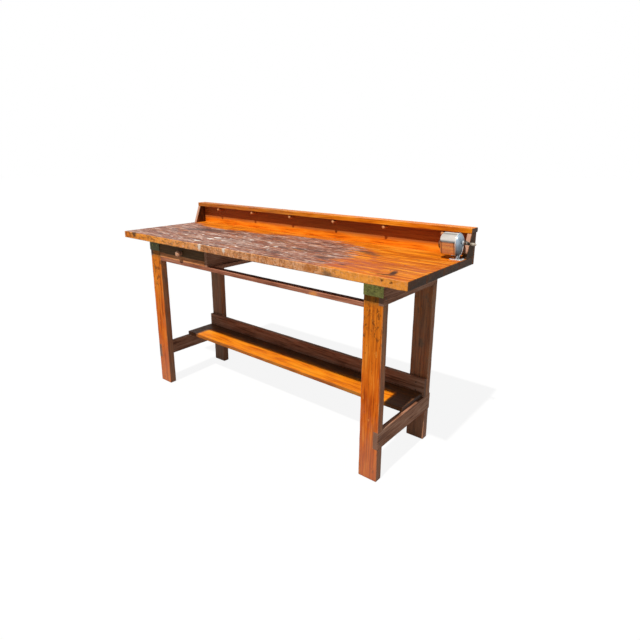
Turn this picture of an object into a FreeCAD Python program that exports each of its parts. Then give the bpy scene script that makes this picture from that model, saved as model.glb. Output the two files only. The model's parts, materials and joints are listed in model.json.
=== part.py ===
import FreeCAD, Part
import os
import re
from math import acos, atan2, cos, hypot, pi, sin

import Sketcher

# A worn woodworking bench: a board top with a low gallery along its back, four notched legs,
# aprons, stretchers, a shelf, a hung drawer and a crank pencil sharpener at the right end.
# Millimetres, +X to the right, +Y to the back, +Z up, origin on the floor under the middle.

SIZES = {
    # The top, a row of boards glued edge to edge
    "top_length": 1829,
    "top_depth": 572,
    "top_height": 898,
    "top_thick": 36,
    # The legs, and how far the top reaches past them
    "leg_wide": 89,
    "leg_thick": 38,
    "foot_chamfer": 5,
    "left_overhang": 172,
    "right_overhang": 125,
    "front_overhang": 52,
    "back_overhang": 65,
    # The end boards that the legs are notched for
    "apron_thick": 20,
    "apron_tall": 91,
    "stretcher_thick": 22,
    "stretcher_tall": 80,
    "stretcher_low": 152,
    "stretcher_tail": 8,
    # The shelf and the rails
    "shelf_deep": 184,
    "shelf_thick": 20,
    "shelf_inset": 10,
    "back_rail_thick": 20,
    "back_rail_tall": 90,
    "front_rail_deep": 38,
    "front_rail_tall": 20,
    # The gallery
    "backboard_thick": 12,
    "panel_thick": 20,
    "panel_deep_low": 77,
    "panel_deep_high": 38,
    "panel_tall": 102,
    "cap_thick": 22,
    "cap_overhang": 14,
    "cap_round": 7,
    "peg_radius": 8,
    "peg_reach": 36,
    "peg_drop": 12,
    "peg_left_inset": 190,
    "peg_right_inset": 134,
    "peg_bevel": 3,
    # The painted angle plates under the top's front overhang
    "bracket_thick": 3,
    "bracket_drop": 58,
    "bracket_reach": 34,
    # The drawer
    "drawer_opening": 390,
    "drawer_gap": 1.2,
    "drawer_seat_gap": 0.3,
    "drawer_stop_gap": 18,
    "drawer_front_thick": 19,
    "drawer_lap": 10,
    "drawer_side_thick": 12,
    "drawer_side_tall": 68,
    "drawer_back_thick": 12,
    "drawer_bottom_thick": 6,
    "drawer_bottom_lift": 8,
    "drawer_groove": 5,
    "pull_radius": 18,
    "pull_reach": 28,
    "pull_thick": 18,
    "pull_neck_radius": 8,
    "pull_foot_radius": 12,
    "pull_screw_radius": 2.5,
    "pull_screw_bite": 16,
    "pull_screw_head_radius": 5,
    "pull_screw_head_tall": 3,
    # The drawer's case under the top
    "case_side_thick": 19,
    "case_back_gap": 37,
    "case_back_thick": 12,
    "runner_inside": 18,
    "runner_ledge": 8,
    # Fasteners: the heads are cones that lie flush
    "nail_radius": 1.6,
    "nail_long": 60,
    "nail_head_radius": 3.4,
    "nail_head_tall": 2,
    "brad_radius": 1,
    "brad_long": 28,
    "brad_head_radius": 2,
    "brad_head_tall": 1.5,
    "screw_radius": 2.2,
    "screw_long": 45,
    "screw_head_radius": 4.6,
    "screw_head_tall": 3.4,
    "stub_radius": 1.9,
    "stub_long": 16,
    "stub_head_radius": 4.2,
    "stub_head_tall": 2.6,
    # The sharpener's stand
    "axis_up": 74,
    "axis_from_back": 108,
    "stand_from_end": 22,
    "stand_thick": 4,
    "stand_rim": 3,
    "foot_left": 28,
    "foot_right": 20,
    "foot_half": 22,
    "foot_thick": 4,
    "stem_half": 14,
    "boss_radius": 9,
    "boss_long": 19,
    # The sharpener's shavings drum
    "drum_radius": 37,
    "drum_low_half": 24,
    "drum_drop": 57,
    "drum_long": 74,
    "drum_wall": 1.5,
    "drum_round": 20,
    "drum_seat_gap": 0.3,
    # The size dial on the drum's end
    "pencil_hole_radius": 6.5,
    "dial_radius": 22,
    "dial_thick": 3,
    "dial_gap": 0.3,
    "dial_circle": 14,
    "dial_hole_least": 3,
    "dial_hole_step": 0.5,
    "rivet_radius": 3,
    "rivet_head_radius": 5,
    "rivet_head_tall": 2,
    # The ring gear, the cutter carrier and its two cutters
    "tooth_module": 1,
    "tooth_rise": 0.7,
    "tooth_root": 1.2,
    "tooth_play": 0.6,
    "ring_outer": 19,
    "ring_bore": 15.6,
    "ring_seat": 4,
    "plate_radius": 15,
    "plate_thick": 3,
    "plate_gap": 0.5,
    "shaft_radius": 5,
    "run_clearance": 0.05,
    "bar_in": 7,
    "bar_out": 10.4,
    "bar_half": 2.5,
    "cutter_radius": 6.3,
    "cutter_long": 44,
    "cutter_spread": 4.2,
    "cutter_end_gap": 0.5,
    "pinion_face": 4,
    "cutter_neck": 1.4,
    "flute_radius": 0.9,
    "cutter_pin_radius": 2,
    "nose_radius": 16,
    "nose_thick": 4,
    "nose_hole_radius": 5,
    # The crank and its turning grip
    "crank_gap": 2,
    "arm_thick": 3,
    "arm_half": 6,
    "arm_long": 45,
    "arm_droop": 14,
    "nut_wall": 3,
    "nut_tall": 4,
    "grip_radius": 7,
    "grip_long": 25,
    "grip_round": 3,
    "grip_gap": 0.4,
    "grip_pin_radius": 2,
    "grip_pin_head_radius": 4,
    "grip_pin_head_tall": 1.6,
    # How far a cutting tool runs past what it cuts
    "overrun": 2,
}

TOP_BOARDS = ["top_board_front", "top_board_front_middle", "top_board_back_middle", "top_board_back"]
PEGS = 6
DIAL_HOLES = 6
RING_TEETH = 24
PINION_TEETH = 11
CUTTER_FLUTES = 10
HALF_TURN = 180
PRESSURE_ANGLE = 20
# Heights of a pair of fasteners in a board, as shares of the board's height
PAIR_SHARES = (0.28, 0.72)
# Places of the screws along the backboard, as shares of the top's length
BACKBOARD_SHARES = (0.05, 0.2, 0.35, 0.5, 0.65, 0.8, 0.95)
# Places of fasteners along the drawer's case, as shares of its depth
CASE_SHARES = (0.2, 0.85)
# Places of the sharpener's screws, as shares of its foot's reach from the stem and from the middle
FOOT_LEFT_SHARE = 0.6
FOOT_RIGHT_SHARE = 0.55
FOOT_SIDE_SHARE = 0.6
MIDDLE_SHARE = 0.5
# An edge lies on a face when it is off it by less than this share of its length
TOUCH_SHARE = 1e-6

# Places and sizes that follow from the sizes above, in the same words
PLACES = {
    "crank_reach": "crank_gap + arm_thick + grip_gap + grip_long + grip_gap + grip_pin_head_tall",
    "left_end": "-(top_length + crank_reach) / 2",
    "right_end": "left_end + top_length",
    "front_edge": "-(top_depth + backboard_thick + cap_overhang) / 2",
    "back_edge": "front_edge + top_depth",
    "under_top": "top_height - top_thick",
    "left_leg_out": "left_end + left_overhang",
    "right_leg_out": "right_end - right_overhang",
    "leg_front": "front_edge + front_overhang",
    "base_depth": "top_depth - front_overhang - back_overhang",
    "rear_leg_front": "leg_front + base_depth - leg_thick",
    "apron_low": "under_top - apron_tall",
    "stretcher_top": "stretcher_low + stretcher_tall",
    "back_rail_front": "rear_leg_front - back_rail_thick",
    "shelf_front": "back_rail_front - shelf_deep",
    "shelf_right": "right_leg_out - shelf_inset",
    "board_depth": f"top_depth / {len(TOP_BOARDS)}",
    "cap_low": "top_height + panel_tall",
    "cap_deep": "panel_deep_high + backboard_thick + cap_overhang",
    "peg_axis": "cap_low - peg_drop",
    "peg_pitch": f"(top_length - peg_left_inset - peg_right_inset) / {PEGS - 1}",
    "opening_left": "left_leg_out + leg_wide",
    "opening_right": "opening_left + drawer_opening",
    "drawer_left": "opening_left + drawer_gap",
    "drawer_right": "opening_right - drawer_gap",
    "drawer_low": "apron_low + drawer_seat_gap",
    "drawer_side_front": "leg_front + drawer_front_thick - drawer_lap",
    "drawer_end": "case_end - case_back_thick - drawer_stop_gap",
    "drawer_bottom_low": "drawer_low + drawer_bottom_lift",
    "drawer_bottom_top": "drawer_bottom_low + drawer_bottom_thick",
    "pull_x": "(drawer_left + drawer_right) / 2",
    "pull_z": "drawer_low + apron_tall / 2",
    "case_end": "rear_leg_front - case_back_gap",
    "case_deep": "case_end - leg_front",
    "runner_front": "leg_front + front_rail_deep",
    "runner_low": "apron_low - front_rail_tall",
    "stand_out": "right_end - stand_from_end",
    "stand_in": "stand_out - stand_thick",
    "axis_y": "back_edge - axis_from_back",
    "axis_z": "top_height + axis_up",
    "drum_right": "stand_in - drum_seat_gap",
    "drum_left": "drum_right - drum_long",
    "dial_right": "drum_left - dial_gap",
    "dial_left": "dial_right - dial_thick",
    "dial_z": "axis_z - dial_circle",
    "ring_pitch": f"{RING_TEETH} * tooth_module / 2",
    "pinion_pitch": f"{PINION_TEETH} * tooth_module / 2",
    "pinion_offset": "ring_pitch - pinion_pitch",
    "pinion_right": "stand_in - ring_seat - cutter_end_gap",
    "plate_right": "stand_in - plate_gap",
    "plate_left": "plate_right - plate_thick",
    "roll_start": "pinion_face + cutter_neck",
    "nose_right": "pinion_right - roll_start - cutter_long - cutter_end_gap",
    "cutter_slope": "cutter_spread / cutter_long",
    "pinion_start": "pinion_offset - cutter_slope * pinion_face / 2",
    "arm_in": "right_end + crank_gap",
    "arm_out": "arm_in + arm_thick",
    "grip_y": "axis_y + arm_long * cos(arm_droop)",
    "grip_z": "axis_z - arm_long * sin(arm_droop)",
    "grip_in": "arm_out + grip_gap",
}
WORD = re.compile(r"[a-z][a-z_]*")

doc = FreeCAD.newDocument("woodworking_bench")
sheet = doc.addObject("Spreadsheet::Sheet", "dims")
for row, (alias, value) in enumerate(SIZES.items(), 1):
    sheet.set(f"A{row}", alias)
    sheet.set(f"B{row}", str(value))
    sheet.setAlias(f"B{row}", alias)
doc.recompute()

X_AXIS = FreeCAD.Vector(1, 0, 0)
Y_AXIS = FreeCAD.Vector(0, 1, 0)
QUARTER = 90
TURNS = {
    "+x": FreeCAD.Rotation(Y_AXIS, QUARTER),
    "-x": FreeCAD.Rotation(Y_AXIS, -QUARTER),
    "+y": FreeCAD.Rotation(X_AXIS, -QUARTER),
    "-y": FreeCAD.Rotation(X_AXIS, QUARTER),
    "+z": FreeCAD.Rotation(),
    "-z": FreeCAD.Rotation(X_AXIS, HALF_TURN),
}
ORIGIN = ("0", "0", "0")
nodes = []


def spell(text):
    """Turns words into sheet cells, and derived words into sums of them."""
    def one(match):
        word = match.group()
        if word in PLACES:
            return "(" + spell(PLACES[word]) + ")"
        return "dims." + word if word in SIZES else word
    return WORD.sub(one, text)


def number(text):
    """The present value of a size or a place."""
    return float(sheet.evalExpression(spell(text)))


def place(thing, spot, turn="+z"):
    """Binds an object's place to the sheet and turns its own +Z the named way."""
    thing.Placement = FreeCAD.Placement(FreeCAD.Vector(), TURNS[turn])
    for letter, text in zip("xyz", spot):
        thing.setExpression(f"Placement.Base.{letter}", spell(text))
    return thing


def primitive(kind, name, spot, turn="+z", **sizes):
    """One primitive solid whose sizes and place are bound to the sheet."""
    thing = doc.addObject(kind, name)
    for prop, text in sizes.items():
        thing.setExpression(prop, spell(text))
    return place(thing, spot, turn)


def board(name, spot, along_x, along_y, along_z):
    return primitive("Part::Box", name, spot, Length=along_x, Width=along_y, Height=along_z)


def rod(name, spot, turn, radius, length):
    return primitive("Part::Cylinder", name, spot, turn, Radius=radius, Height=length)


def cone(name, spot, turn, start, end, length):
    return primitive("Part::Cone", name, spot, turn, Radius1=start, Radius2=end, Height=length)


def fused(name, pieces):
    thing = doc.addObject("Part::MultiFuse", name)
    thing.Shapes = pieces
    return thing


def grouped(name, pieces):
    thing = doc.addObject("Part::Compound", name)
    thing.Links = pieces
    return thing


def cut(name, base, tools):
    """The base with every tool taken out of it."""
    thing = doc.addObject("Part::Cut", name)
    thing.Base = base
    thing.Tool = tools[0] if len(tools) == 1 else grouped(name + "_tools", tools)
    return thing


def node(thing, label):
    """Marks a finished sub-part: its label names its file."""
    thing.Label = label
    nodes.append(thing)
    return thing


def origin_part(body, role):
    return next(part for part in body.Origin.OriginFeatures if part.Role == role)


def flat_sketch(body, role, name):
    sketch = body.newObject("Sketcher::SketchObject", name)
    sketch.AttachmentSupport = [(origin_part(body, role), "")]
    sketch.MapMode = "FlatFace"
    return sketch


def pin_point(sketch, edge, end, texts):
    """Binds one end of a sketch edge to a pair of sizes, measured from the sketch's origin."""
    for kind, text in zip(("DistanceX", "DistanceY"), texts):
        index = sketch.addConstraint(Sketcher.Constraint(kind, -1, 1, edge, end, number(text)))
        sketch.setExpression(f"Constraints[{index}]", spell(text))


def polygon(body, role, name, points):
    """A closed outline of straight edges through points given as pairs of sizes."""
    sketch = flat_sketch(body, role, name)
    spots = [FreeCAD.Vector(number(u), number(v), 0) for u, v in points]
    for start, end in zip(spots, spots[1:] + spots[:1]):
        sketch.addGeometry(Part.LineSegment(start, end), False)
    for edge, texts in enumerate(points):
        follower = (edge + 1) % len(points)
        sketch.addConstraint(Sketcher.Constraint("Coincident", edge, 2, follower, 1))
        pin_point(sketch, edge, 1, texts)
    return sketch


def padded(body, sketch, length, backwards=False):
    pad = body.newObject("PartDesign::Pad", sketch.Name + "_pad")
    pad.Profile = sketch
    pad.setExpression("Length", spell(length))
    pad.Reversed = backwards
    sketch.Visibility = False
    return pad


def turned_pattern(body, feature, count):
    """Repeats a feature evenly about the body's own X axis."""
    pattern = body.newObject("PartDesign::PolarPattern", feature.Name + "_row")
    pattern.Originals = [feature]
    pattern.Axis = (origin_part(body, "X_Axis"), [""])
    pattern.Occurrences = count
    body.Tip = pattern
    return pattern


def rounded(name, base, radius, wanted):
    """Rounds the edges of the base that the test picks."""
    doc.recompute()
    thing = doc.addObject("Part::Fillet", name)
    thing.Base = base
    edges = enumerate(base.Shape.Edges, 1)
    thing.Edges = [(index, number(radius), number(radius)) for index, edge in edges if wanted(edge)]
    return thing


def fasteners(label, kind, heads):
    """A group of nails or screws of one kind; each head has a spot and points a way."""
    pieces = []
    for index, (spot, turn) in enumerate(heads):
        name = f"{label}_{index}"
        shank = rod(name + "_shank", spot, turn, f"{kind}_radius", f"{kind}_long")
        sizes = (f"{kind}_head_radius", f"{kind}_radius", f"{kind}_head_tall")
        head = cone(name + "_head", spot, turn, *sizes)
        pieces.append(fused(name, [shank, head]))
    return node(grouped(label, pieces), label)


def top_fasteners():
    """Nails down through each top board into the aprons and the drawer's case."""
    heads = []
    for line in ("left_leg_out + apron_thick / 2", "right_leg_out - apron_thick / 2"):
        for index, _ in enumerate(TOP_BOARDS):
            along = f"leg_front + base_depth * ({index} + {MIDDLE_SHARE}) / {len(TOP_BOARDS)}"
            heads.append(((line, along, "top_height"), "-z"))
    for line in ("opening_left - case_side_thick / 2", "opening_right + case_side_thick / 2"):
        for share in CASE_SHARES:
            heads.append(((line, f"leg_front + case_deep * {share}", "top_height"), "-z"))
    return fasteners("top_nails", "nail", heads)


def end_nails(label, low, tall):
    """Pairs of nails from outside through an end board into each leg."""
    heads = []
    for line, turn in (("left_leg_out", "+x"), ("right_leg_out", "-x")):
        for depth in ("leg_front + leg_thick / 2", "rear_leg_front + leg_thick / 2"):
            for share in PAIR_SHARES:
                heads.append(((line, depth, f"{low} + {tall} * {share}"), turn))
    return fasteners(label, "nail", heads)


def shelf_fasteners():
    heads = []
    left = "left_leg_out + stretcher_thick / 2"
    right = "shelf_right - (stretcher_thick - shelf_inset) / 2"
    for line in (left, right):
        for share in PAIR_SHARES:
            heads.append(((line, f"shelf_front + shelf_deep * {share}", "stretcher_top + shelf_thick"), "-z"))
    return fasteners("shelf_nails", "nail", heads)


def back_rail_fasteners():
    heads = []
    for line in ("left_leg_out + leg_wide / 2", "right_leg_out - leg_wide / 2"):
        for share in PAIR_SHARES:
            height = f"stretcher_top + back_rail_tall * {share}"
            heads.append(((line, "back_rail_front", height), "+y"))
    return fasteners("back_rail_nails", "nail", heads)


def bracket_fasteners():
    heads = []
    for line in ("left_leg_out", "right_leg_out - leg_wide"):
        for share in PAIR_SHARES:
            along = f"{line} + leg_wide * {share}"
            face = (along, "leg_front - bracket_thick", "under_top - bracket_drop / 2")
            heads.append((face, "+y"))
            under = (along, "leg_front - bracket_thick - bracket_reach / 2", "under_top - bracket_thick")
            heads.append((under, "+z"))
    return fasteners("bracket_screws", "stub", heads)


def backboard_fasteners():
    back = "back_edge + backboard_thick"
    heads = []
    for share in BACKBOARD_SHARES:
        heads.append(((f"left_end + top_length * {share}", back, "top_height - top_thick / 2"), "-y"))
    for line in ("left_end + panel_thick / 2", "right_end - panel_thick / 2"):
        heads.append(((line, back, f"top_height + panel_tall * {PAIR_SHARES[0]}"), "-y"))
    return fasteners("backboard_screws", "screw", heads)


def peg_place(index):
    return f"left_end + peg_left_inset + peg_pitch * {index}"


def cap_fasteners():
    """Nails down through the cap, midway between the pegs and over the end panels."""
    top = "cap_low + cap_thick"
    heads = []
    for index in range(PEGS - 1):
        between = f"{peg_place(index)} + peg_pitch / 2"
        heads.append(((between, "back_edge + backboard_thick / 2", top), "-z"))
    for line in ("left_end + panel_thick / 2", "right_end - panel_thick / 2"):
        heads.append(((line, "back_edge - panel_deep_high / 2", top), "-z"))
    return fasteners("cap_nails", "nail", heads)


def drawer_fasteners():
    """Brads through the drawer's sides into its front and its back."""
    heads = []
    for line, turn in (("drawer_left", "+x"), ("drawer_right", "-x")):
        for depth in ("drawer_side_front + drawer_lap / 2", "drawer_end - drawer_back_thick / 2"):
            for share in PAIR_SHARES:
                low = "drawer_bottom_top"
                height = f"{low} + (drawer_low + drawer_side_tall - {low}) * {share}"
                heads.append(((line, depth, height), turn))
    return fasteners("drawer_brads", "brad", heads)


def case_fasteners():
    heads = []
    for line in ("opening_left - case_side_thick / 2", "opening_right + case_side_thick / 2"):
        for share in CASE_SHARES:
            depth = f"runner_front + (case_end - runner_front) * {share}"
            heads.append(((line, depth, "runner_low"), "+z"))
    return fasteners("runner_screws", "screw", heads)


def stand_fasteners():
    top = "top_height + foot_thick"
    heads = []
    for side in ("+", "-"):
        left = f"stand_in - foot_left * {FOOT_LEFT_SHARE}"
        heads.append(((left, f"axis_y {side} foot_half * {FOOT_SIDE_SHARE}", top), "-z"))
    heads.append(((f"stand_out + foot_right * {FOOT_RIGHT_SHARE}", "axis_y", top), "-z"))
    return fasteners("sharpener_screws", "stub", heads)


def top_boards(tools):
    for index, label in enumerate(TOP_BOARDS):
        spot = ("left_end", f"front_edge + board_depth * {index}", "under_top")
        blank = board(label + "_blank", spot, "top_length", "board_depth", "top_thick")
        node(cut(label + "_drilled", blank, tools), label)


def leg(label, left, depth, tools):
    """A plank leg with notches in its outer edge for the apron and the stretcher."""
    outline = [
        ("leg_wide - foot_chamfer", "0"),
        ("leg_wide", "foot_chamfer"),
        ("leg_wide", "stretcher_low"),
        ("leg_wide - stretcher_thick", "stretcher_low"),
        ("leg_wide - stretcher_thick", "stretcher_top"),
        ("leg_wide", "stretcher_top"),
        ("leg_wide", "apron_low"),
        ("leg_wide - apron_thick", "apron_low"),
        ("leg_wide - apron_thick", "under_top"),
        ("0", "under_top"),
        ("0", "foot_chamfer"),
        ("foot_chamfer", "0"),
    ]
    if left:
        outline = [(f"leg_wide - ({across})", up) for across, up in outline]
    body = doc.addObject("PartDesign::Body", label + "_blank")
    padded(body, polygon(body, "XZ_Plane", label + "_outline", outline), "leg_thick", True)
    place(body, ("left_leg_out" if left else "right_leg_out - leg_wide", depth, "0"))
    node(cut(label + "_drilled", body, tools), label)


def end_boards(side, tools):
    left = side == "left"
    apron_x = "left_leg_out" if left else "right_leg_out - apron_thick"
    apron = board(f"apron_{side}_blank", (apron_x, "leg_front", "apron_low"),
                  "apron_thick", "base_depth", "apron_tall")
    node(cut(f"apron_{side}_drilled", apron, tools), f"end_apron_{side}")
    stretcher_x = "left_leg_out" if left else "right_leg_out - stretcher_thick"
    stretcher = board(f"stretcher_{side}_blank", (stretcher_x, "leg_front", "stretcher_low"),
                      "stretcher_thick", "base_depth + stretcher_tail", "stretcher_tall")
    node(cut(f"stretcher_{side}_drilled", stretcher, tools), f"stretcher_{side}")


def shelf_and_rails(shelf_tools, rail_tools):
    shelf = board("shelf_blank", ("left_leg_out", "shelf_front", "stretcher_top"),
                  "shelf_right - left_leg_out", "shelf_deep", "shelf_thick")
    node(cut("shelf_drilled", shelf, shelf_tools), "shelf_board")
    rail = board("back_rail_blank", ("left_leg_out", "back_rail_front", "stretcher_top"),
                 "right_leg_out - left_leg_out", "back_rail_thick", "back_rail_tall")
    node(cut("back_rail_drilled", rail, rail_tools), "back_rail")
    span = "right_leg_out - leg_wide - opening_left"
    front = board("front_rail_board", ("opening_left", "leg_front", "runner_low"),
                  span, "front_rail_deep", "front_rail_tall")
    node(front, "front_rail")


def pegs():
    pieces = []
    for index in range(PEGS):
        along = peg_place(index)
        spot = (along, "back_edge + backboard_thick", "peg_axis")
        tip = (along, "back_edge - peg_reach + peg_bevel", "peg_axis")
        length = "backboard_thick + peg_reach - peg_bevel"
        shank = rod(f"peg_{index}_shank", spot, "-y", "peg_radius", length)
        end = cone(f"peg_{index}_tip", tip, "-y", "peg_radius", "peg_radius - peg_bevel", "peg_bevel")
        pieces.append(fused(f"peg_{index}", [shank, end]))
    return node(grouped("pegs", pieces), "gallery_pegs")


def gallery(backboard_tools, panel_tools, cap_tools):
    backboard = board("backboard_blank", ("left_end", "back_edge", "under_top"),
                      "top_length", "backboard_thick", "top_thick + panel_tall")
    node(cut("backboard_drilled", backboard, backboard_tools), "gallery_backboard")
    outline = [
        ("0", "0"),
        ("panel_deep_low", "0"),
        ("panel_deep_low", "panel_tall"),
        ("panel_deep_low - panel_deep_high", "panel_tall"),
    ]
    for side, line in (("left", "left_end"), ("right", "right_end - panel_thick")):
        body = doc.addObject("PartDesign::Body", f"panel_{side}_blank")
        padded(body, polygon(body, "YZ_Plane", f"panel_{side}_outline", outline), "panel_thick")
        place(body, (line, "back_edge - panel_deep_low", "top_height"))
        node(cut(f"panel_{side}_drilled", body, panel_tools), f"gallery_end_{side}")
    cap = board("cap_blank", ("left_end", "back_edge - panel_deep_high", "cap_low"),
                "top_length", "cap_deep", "cap_thick")
    back = number("back_edge - panel_deep_high + cap_deep")
    rounds = rounded("cap_round", cap, "cap_round",
                     lambda edge: abs(edge.BoundBox.YMin - back) < edge.Length * TOUCH_SHARE
                     and edge.BoundBox.XLength > edge.BoundBox.ZLength)
    node(cut("cap_drilled", rounds, cap_tools), "gallery_cap")


def brackets(tools):
    for side, line in (("left", "left_leg_out"), ("right", "right_leg_out - leg_wide")):
        face = board(f"bracket_{side}_face", (line, "leg_front - bracket_thick", "under_top - bracket_drop"),
                     "leg_wide", "bracket_thick", "bracket_drop")
        leaf = board(f"bracket_{side}_leaf",
                     (line, "leg_front - bracket_thick - bracket_reach", "under_top - bracket_thick"),
                     "leg_wide", "bracket_reach + bracket_thick", "bracket_thick")
        angle = fused(f"bracket_{side}_angle", [face, leaf])
        node(cut(f"bracket_{side}_drilled", angle, tools), f"leg_bracket_{side}")


def drawer_front(brads, screw):
    wide = "drawer_right - drawer_left"
    blank = board("drawer_front_blank", ("drawer_left", "leg_front", "drawer_low"),
                  wide, "drawer_front_thick", "apron_tall - drawer_seat_gap - drawer_gap")
    tools = []
    for side, line in (("left", "drawer_left"), ("right", "drawer_right - drawer_side_thick")):
        tools.append(board(f"drawer_rabbet_{side}", (line, "drawer_side_front", "drawer_low"),
                           "drawer_side_thick", "drawer_lap", "drawer_side_tall"))
    tools.append(board("drawer_front_groove",
                       ("drawer_left + drawer_side_thick - drawer_groove",
                        "leg_front + drawer_front_thick - drawer_groove", "drawer_bottom_low"),
                       f"{wide} - 2 * drawer_side_thick + 2 * drawer_groove",
                       "drawer_groove", "drawer_bottom_thick"))
    node(cut("drawer_front_cut", blank, tools + [brads, screw]), "drawer_front")


def drawer_box(brads):
    """The drawer's sides, back and bottom; the bottom slides into grooves."""
    inner_left = "drawer_left + drawer_side_thick"
    inner_wide = "drawer_right - drawer_left - 2 * drawer_side_thick"
    bottom_spot = (f"{inner_left} - drawer_groove",
                   "leg_front + drawer_front_thick - drawer_groove", "drawer_bottom_low")
    bottom = board("drawer_bottom_board", bottom_spot, f"{inner_wide} + 2 * drawer_groove",
                   "drawer_end - leg_front - drawer_front_thick + drawer_groove", "drawer_bottom_thick")
    node(bottom, "drawer_bottom")
    for side, line in (("left", "drawer_left"), ("right", "drawer_right - drawer_side_thick")):
        blank = board(f"drawer_side_{side}_blank", (line, "drawer_side_front", "drawer_low"),
                      "drawer_side_thick", "drawer_end - drawer_side_front", "drawer_side_tall")
        node(cut(f"drawer_side_{side}_cut", blank, [bottom, brads]), f"drawer_side_{side}")
    back = board("drawer_back_blank", (inner_left, "drawer_end - drawer_back_thick", "drawer_bottom_top"),
                 inner_wide, "drawer_back_thick", "drawer_low + drawer_side_tall - drawer_bottom_top")
    node(cut("drawer_back_cut", back, [brads]), "drawer_back")


def drawer_pull():
    """The turned wooden pull, and the screw that holds it from inside the drawer."""
    inside = ("pull_x", "leg_front + drawer_front_thick", "pull_z")
    shank = rod("pull_screw_shank", inside, "-y", "pull_screw_radius",
                "drawer_front_thick + pull_screw_bite")
    head = rod("pull_screw_head", inside, "+y", "pull_screw_head_radius", "pull_screw_head_tall")
    screw = node(fused("pull_screw_solid", [shank, head]), "drawer_pull_screw")
    neck = cone("pull_neck", ("pull_x", "leg_front", "pull_z"), "-y", "pull_foot_radius",
                "pull_neck_radius", "pull_reach - pull_thick / 2")
    bulb = primitive("Part::Ellipsoid", "pull_bulb",
                     ("pull_x", "leg_front - pull_reach + pull_thick / 2", "pull_z"), "-y",
                     Radius1="pull_thick / 2", Radius2="pull_radius", Radius3="pull_radius")
    node(cut("pull_bored", fused("pull_solid", [neck, bulb]), [screw]), "drawer_pull")
    return screw


def drawer_case(nails, screws):
    """The boards hung under the top that the drawer slides in."""
    left_x = "opening_left - case_side_thick"
    spots = {
        "left": (left_x, "leg_front + leg_thick", "case_end - leg_front - leg_thick"),
        "right": ("opening_right", "leg_front", "case_end - leg_front"),
    }
    runners = {
        "left": (left_x, "case_side_thick + runner_inside"),
        "right": ("opening_right - runner_inside", "runner_inside + case_side_thick + runner_ledge"),
    }
    for side, (line, front, deep) in spots.items():
        blank = board(f"case_side_{side}_blank", (line, front, "apron_low"),
                      "case_side_thick", deep, "apron_tall")
        node(cut(f"case_side_{side}_drilled", blank, [nails, screws]), f"drawer_case_{side}")
        runner_x, runner_wide = runners[side]
        runner = board(f"runner_{side}_blank", (runner_x, "runner_front", "runner_low"),
                       runner_wide, "case_end - runner_front", "front_rail_tall")
        node(cut(f"runner_{side}_drilled", runner, [screws]), f"drawer_runner_{side}")
    stop = board("case_back_board", ("opening_left", "case_end - case_back_thick", "apron_low"),
                 "drawer_opening", "case_back_thick", "apron_tall")
    node(stop, "drawer_case_back")


def drum_outline(body, name, grow):
    """A round-topped outline that narrows downwards, grown outwards by a size."""
    radius, half, drop = (f"drum_radius + {grow}", f"drum_low_half + {grow}", f"drum_drop + {grow}")
    sketch = flat_sketch(body, "YZ_Plane", name)
    big, low, down = number(radius), number(half), number(drop)
    lean = atan2(-down, low) + acos(big / hypot(low, down))
    right = FreeCAD.Vector(big * cos(lean), big * sin(lean), 0)
    left = FreeCAD.Vector(-right.x, right.y, 0)
    low_right = FreeCAD.Vector(low, -down, 0)
    low_left = FreeCAD.Vector(-low, -down, 0)
    circle = Part.Circle(FreeCAD.Vector(), FreeCAD.Vector(0, 0, 1), big)
    sketch.addGeometry(Part.ArcOfCircle(circle, lean, pi - lean), False)
    sketch.addGeometry(Part.LineSegment(left, low_left), False)
    sketch.addGeometry(Part.LineSegment(low_left, low_right), False)
    sketch.addGeometry(Part.LineSegment(low_right, right), False)
    sketch.addConstraint(Sketcher.Constraint("Coincident", 0, 3, -1, 1))
    index = sketch.addConstraint(Sketcher.Constraint("Radius", 0, big))
    sketch.setExpression(f"Constraints[{index}]", spell(radius))
    sketch.addConstraint(Sketcher.Constraint("Tangent", 0, 2, 1, 1))
    sketch.addConstraint(Sketcher.Constraint("Coincident", 1, 2, 2, 1))
    sketch.addConstraint(Sketcher.Constraint("Coincident", 2, 2, 3, 1))
    sketch.addConstraint(Sketcher.Constraint("Tangent", 3, 2, 0, 1))
    pin_point(sketch, 2, 1, (f"-({half})", f"-({drop})"))
    pin_point(sketch, 2, 2, (half, f"-({drop})"))
    return sketch


def drum_block(name, left, long, grow):
    """A solid of the drum's outline; its own X runs along the sharpener's axis."""
    body = doc.addObject("PartDesign::Body", name)
    padded(body, drum_outline(body, name + "_outline", grow), long)
    return place(body, (left, "axis_y", "axis_z"))


def sharpener_drum():
    """The shavings drum: a rounded cup, open towards the stand, with a hole for the pencil."""
    block = drum_block("drum_block", "drum_left", "drum_long", "0")
    start = number("drum_left")
    outer = rounded("drum_outer", block, "drum_round",
                    lambda edge: edge.BoundBox.XMax < start + number("drum_wall"))
    hollow_left = "drum_left + drum_wall"
    hollow_block = drum_block("drum_hollow_block", hollow_left, "drum_long - drum_wall + overrun",
                              "(-drum_wall)")
    hollow_start = number(hollow_left)
    hollow = rounded("drum_hollow", hollow_block, "drum_round - drum_wall",
                     lambda edge: edge.BoundBox.XMax < hollow_start + number("drum_wall"))
    hole = rod("pencil_hole", ("drum_left - overrun", "axis_y", "axis_z"), "+x",
               "pencil_hole_radius", "drum_wall + 2 * overrun")
    rivet = dial_rivet()
    node(cut("drum_cut", outer, [hollow, hole, rivet]), "shavings_drum")


def dial_rivet():
    """The rivet that the size dial turns on, headed on both sides."""
    spot = ("dial_left - dial_gap", "axis_y", "dial_z")
    shank = rod("rivet_shank", spot, "+x", "rivet_radius", "dial_thick + 2 * dial_gap + drum_wall")
    head = rod("rivet_head", spot, "-x", "rivet_head_radius", "rivet_head_tall")
    return node(fused("rivet_solid", [shank, head]), "dial_rivet")


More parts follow.
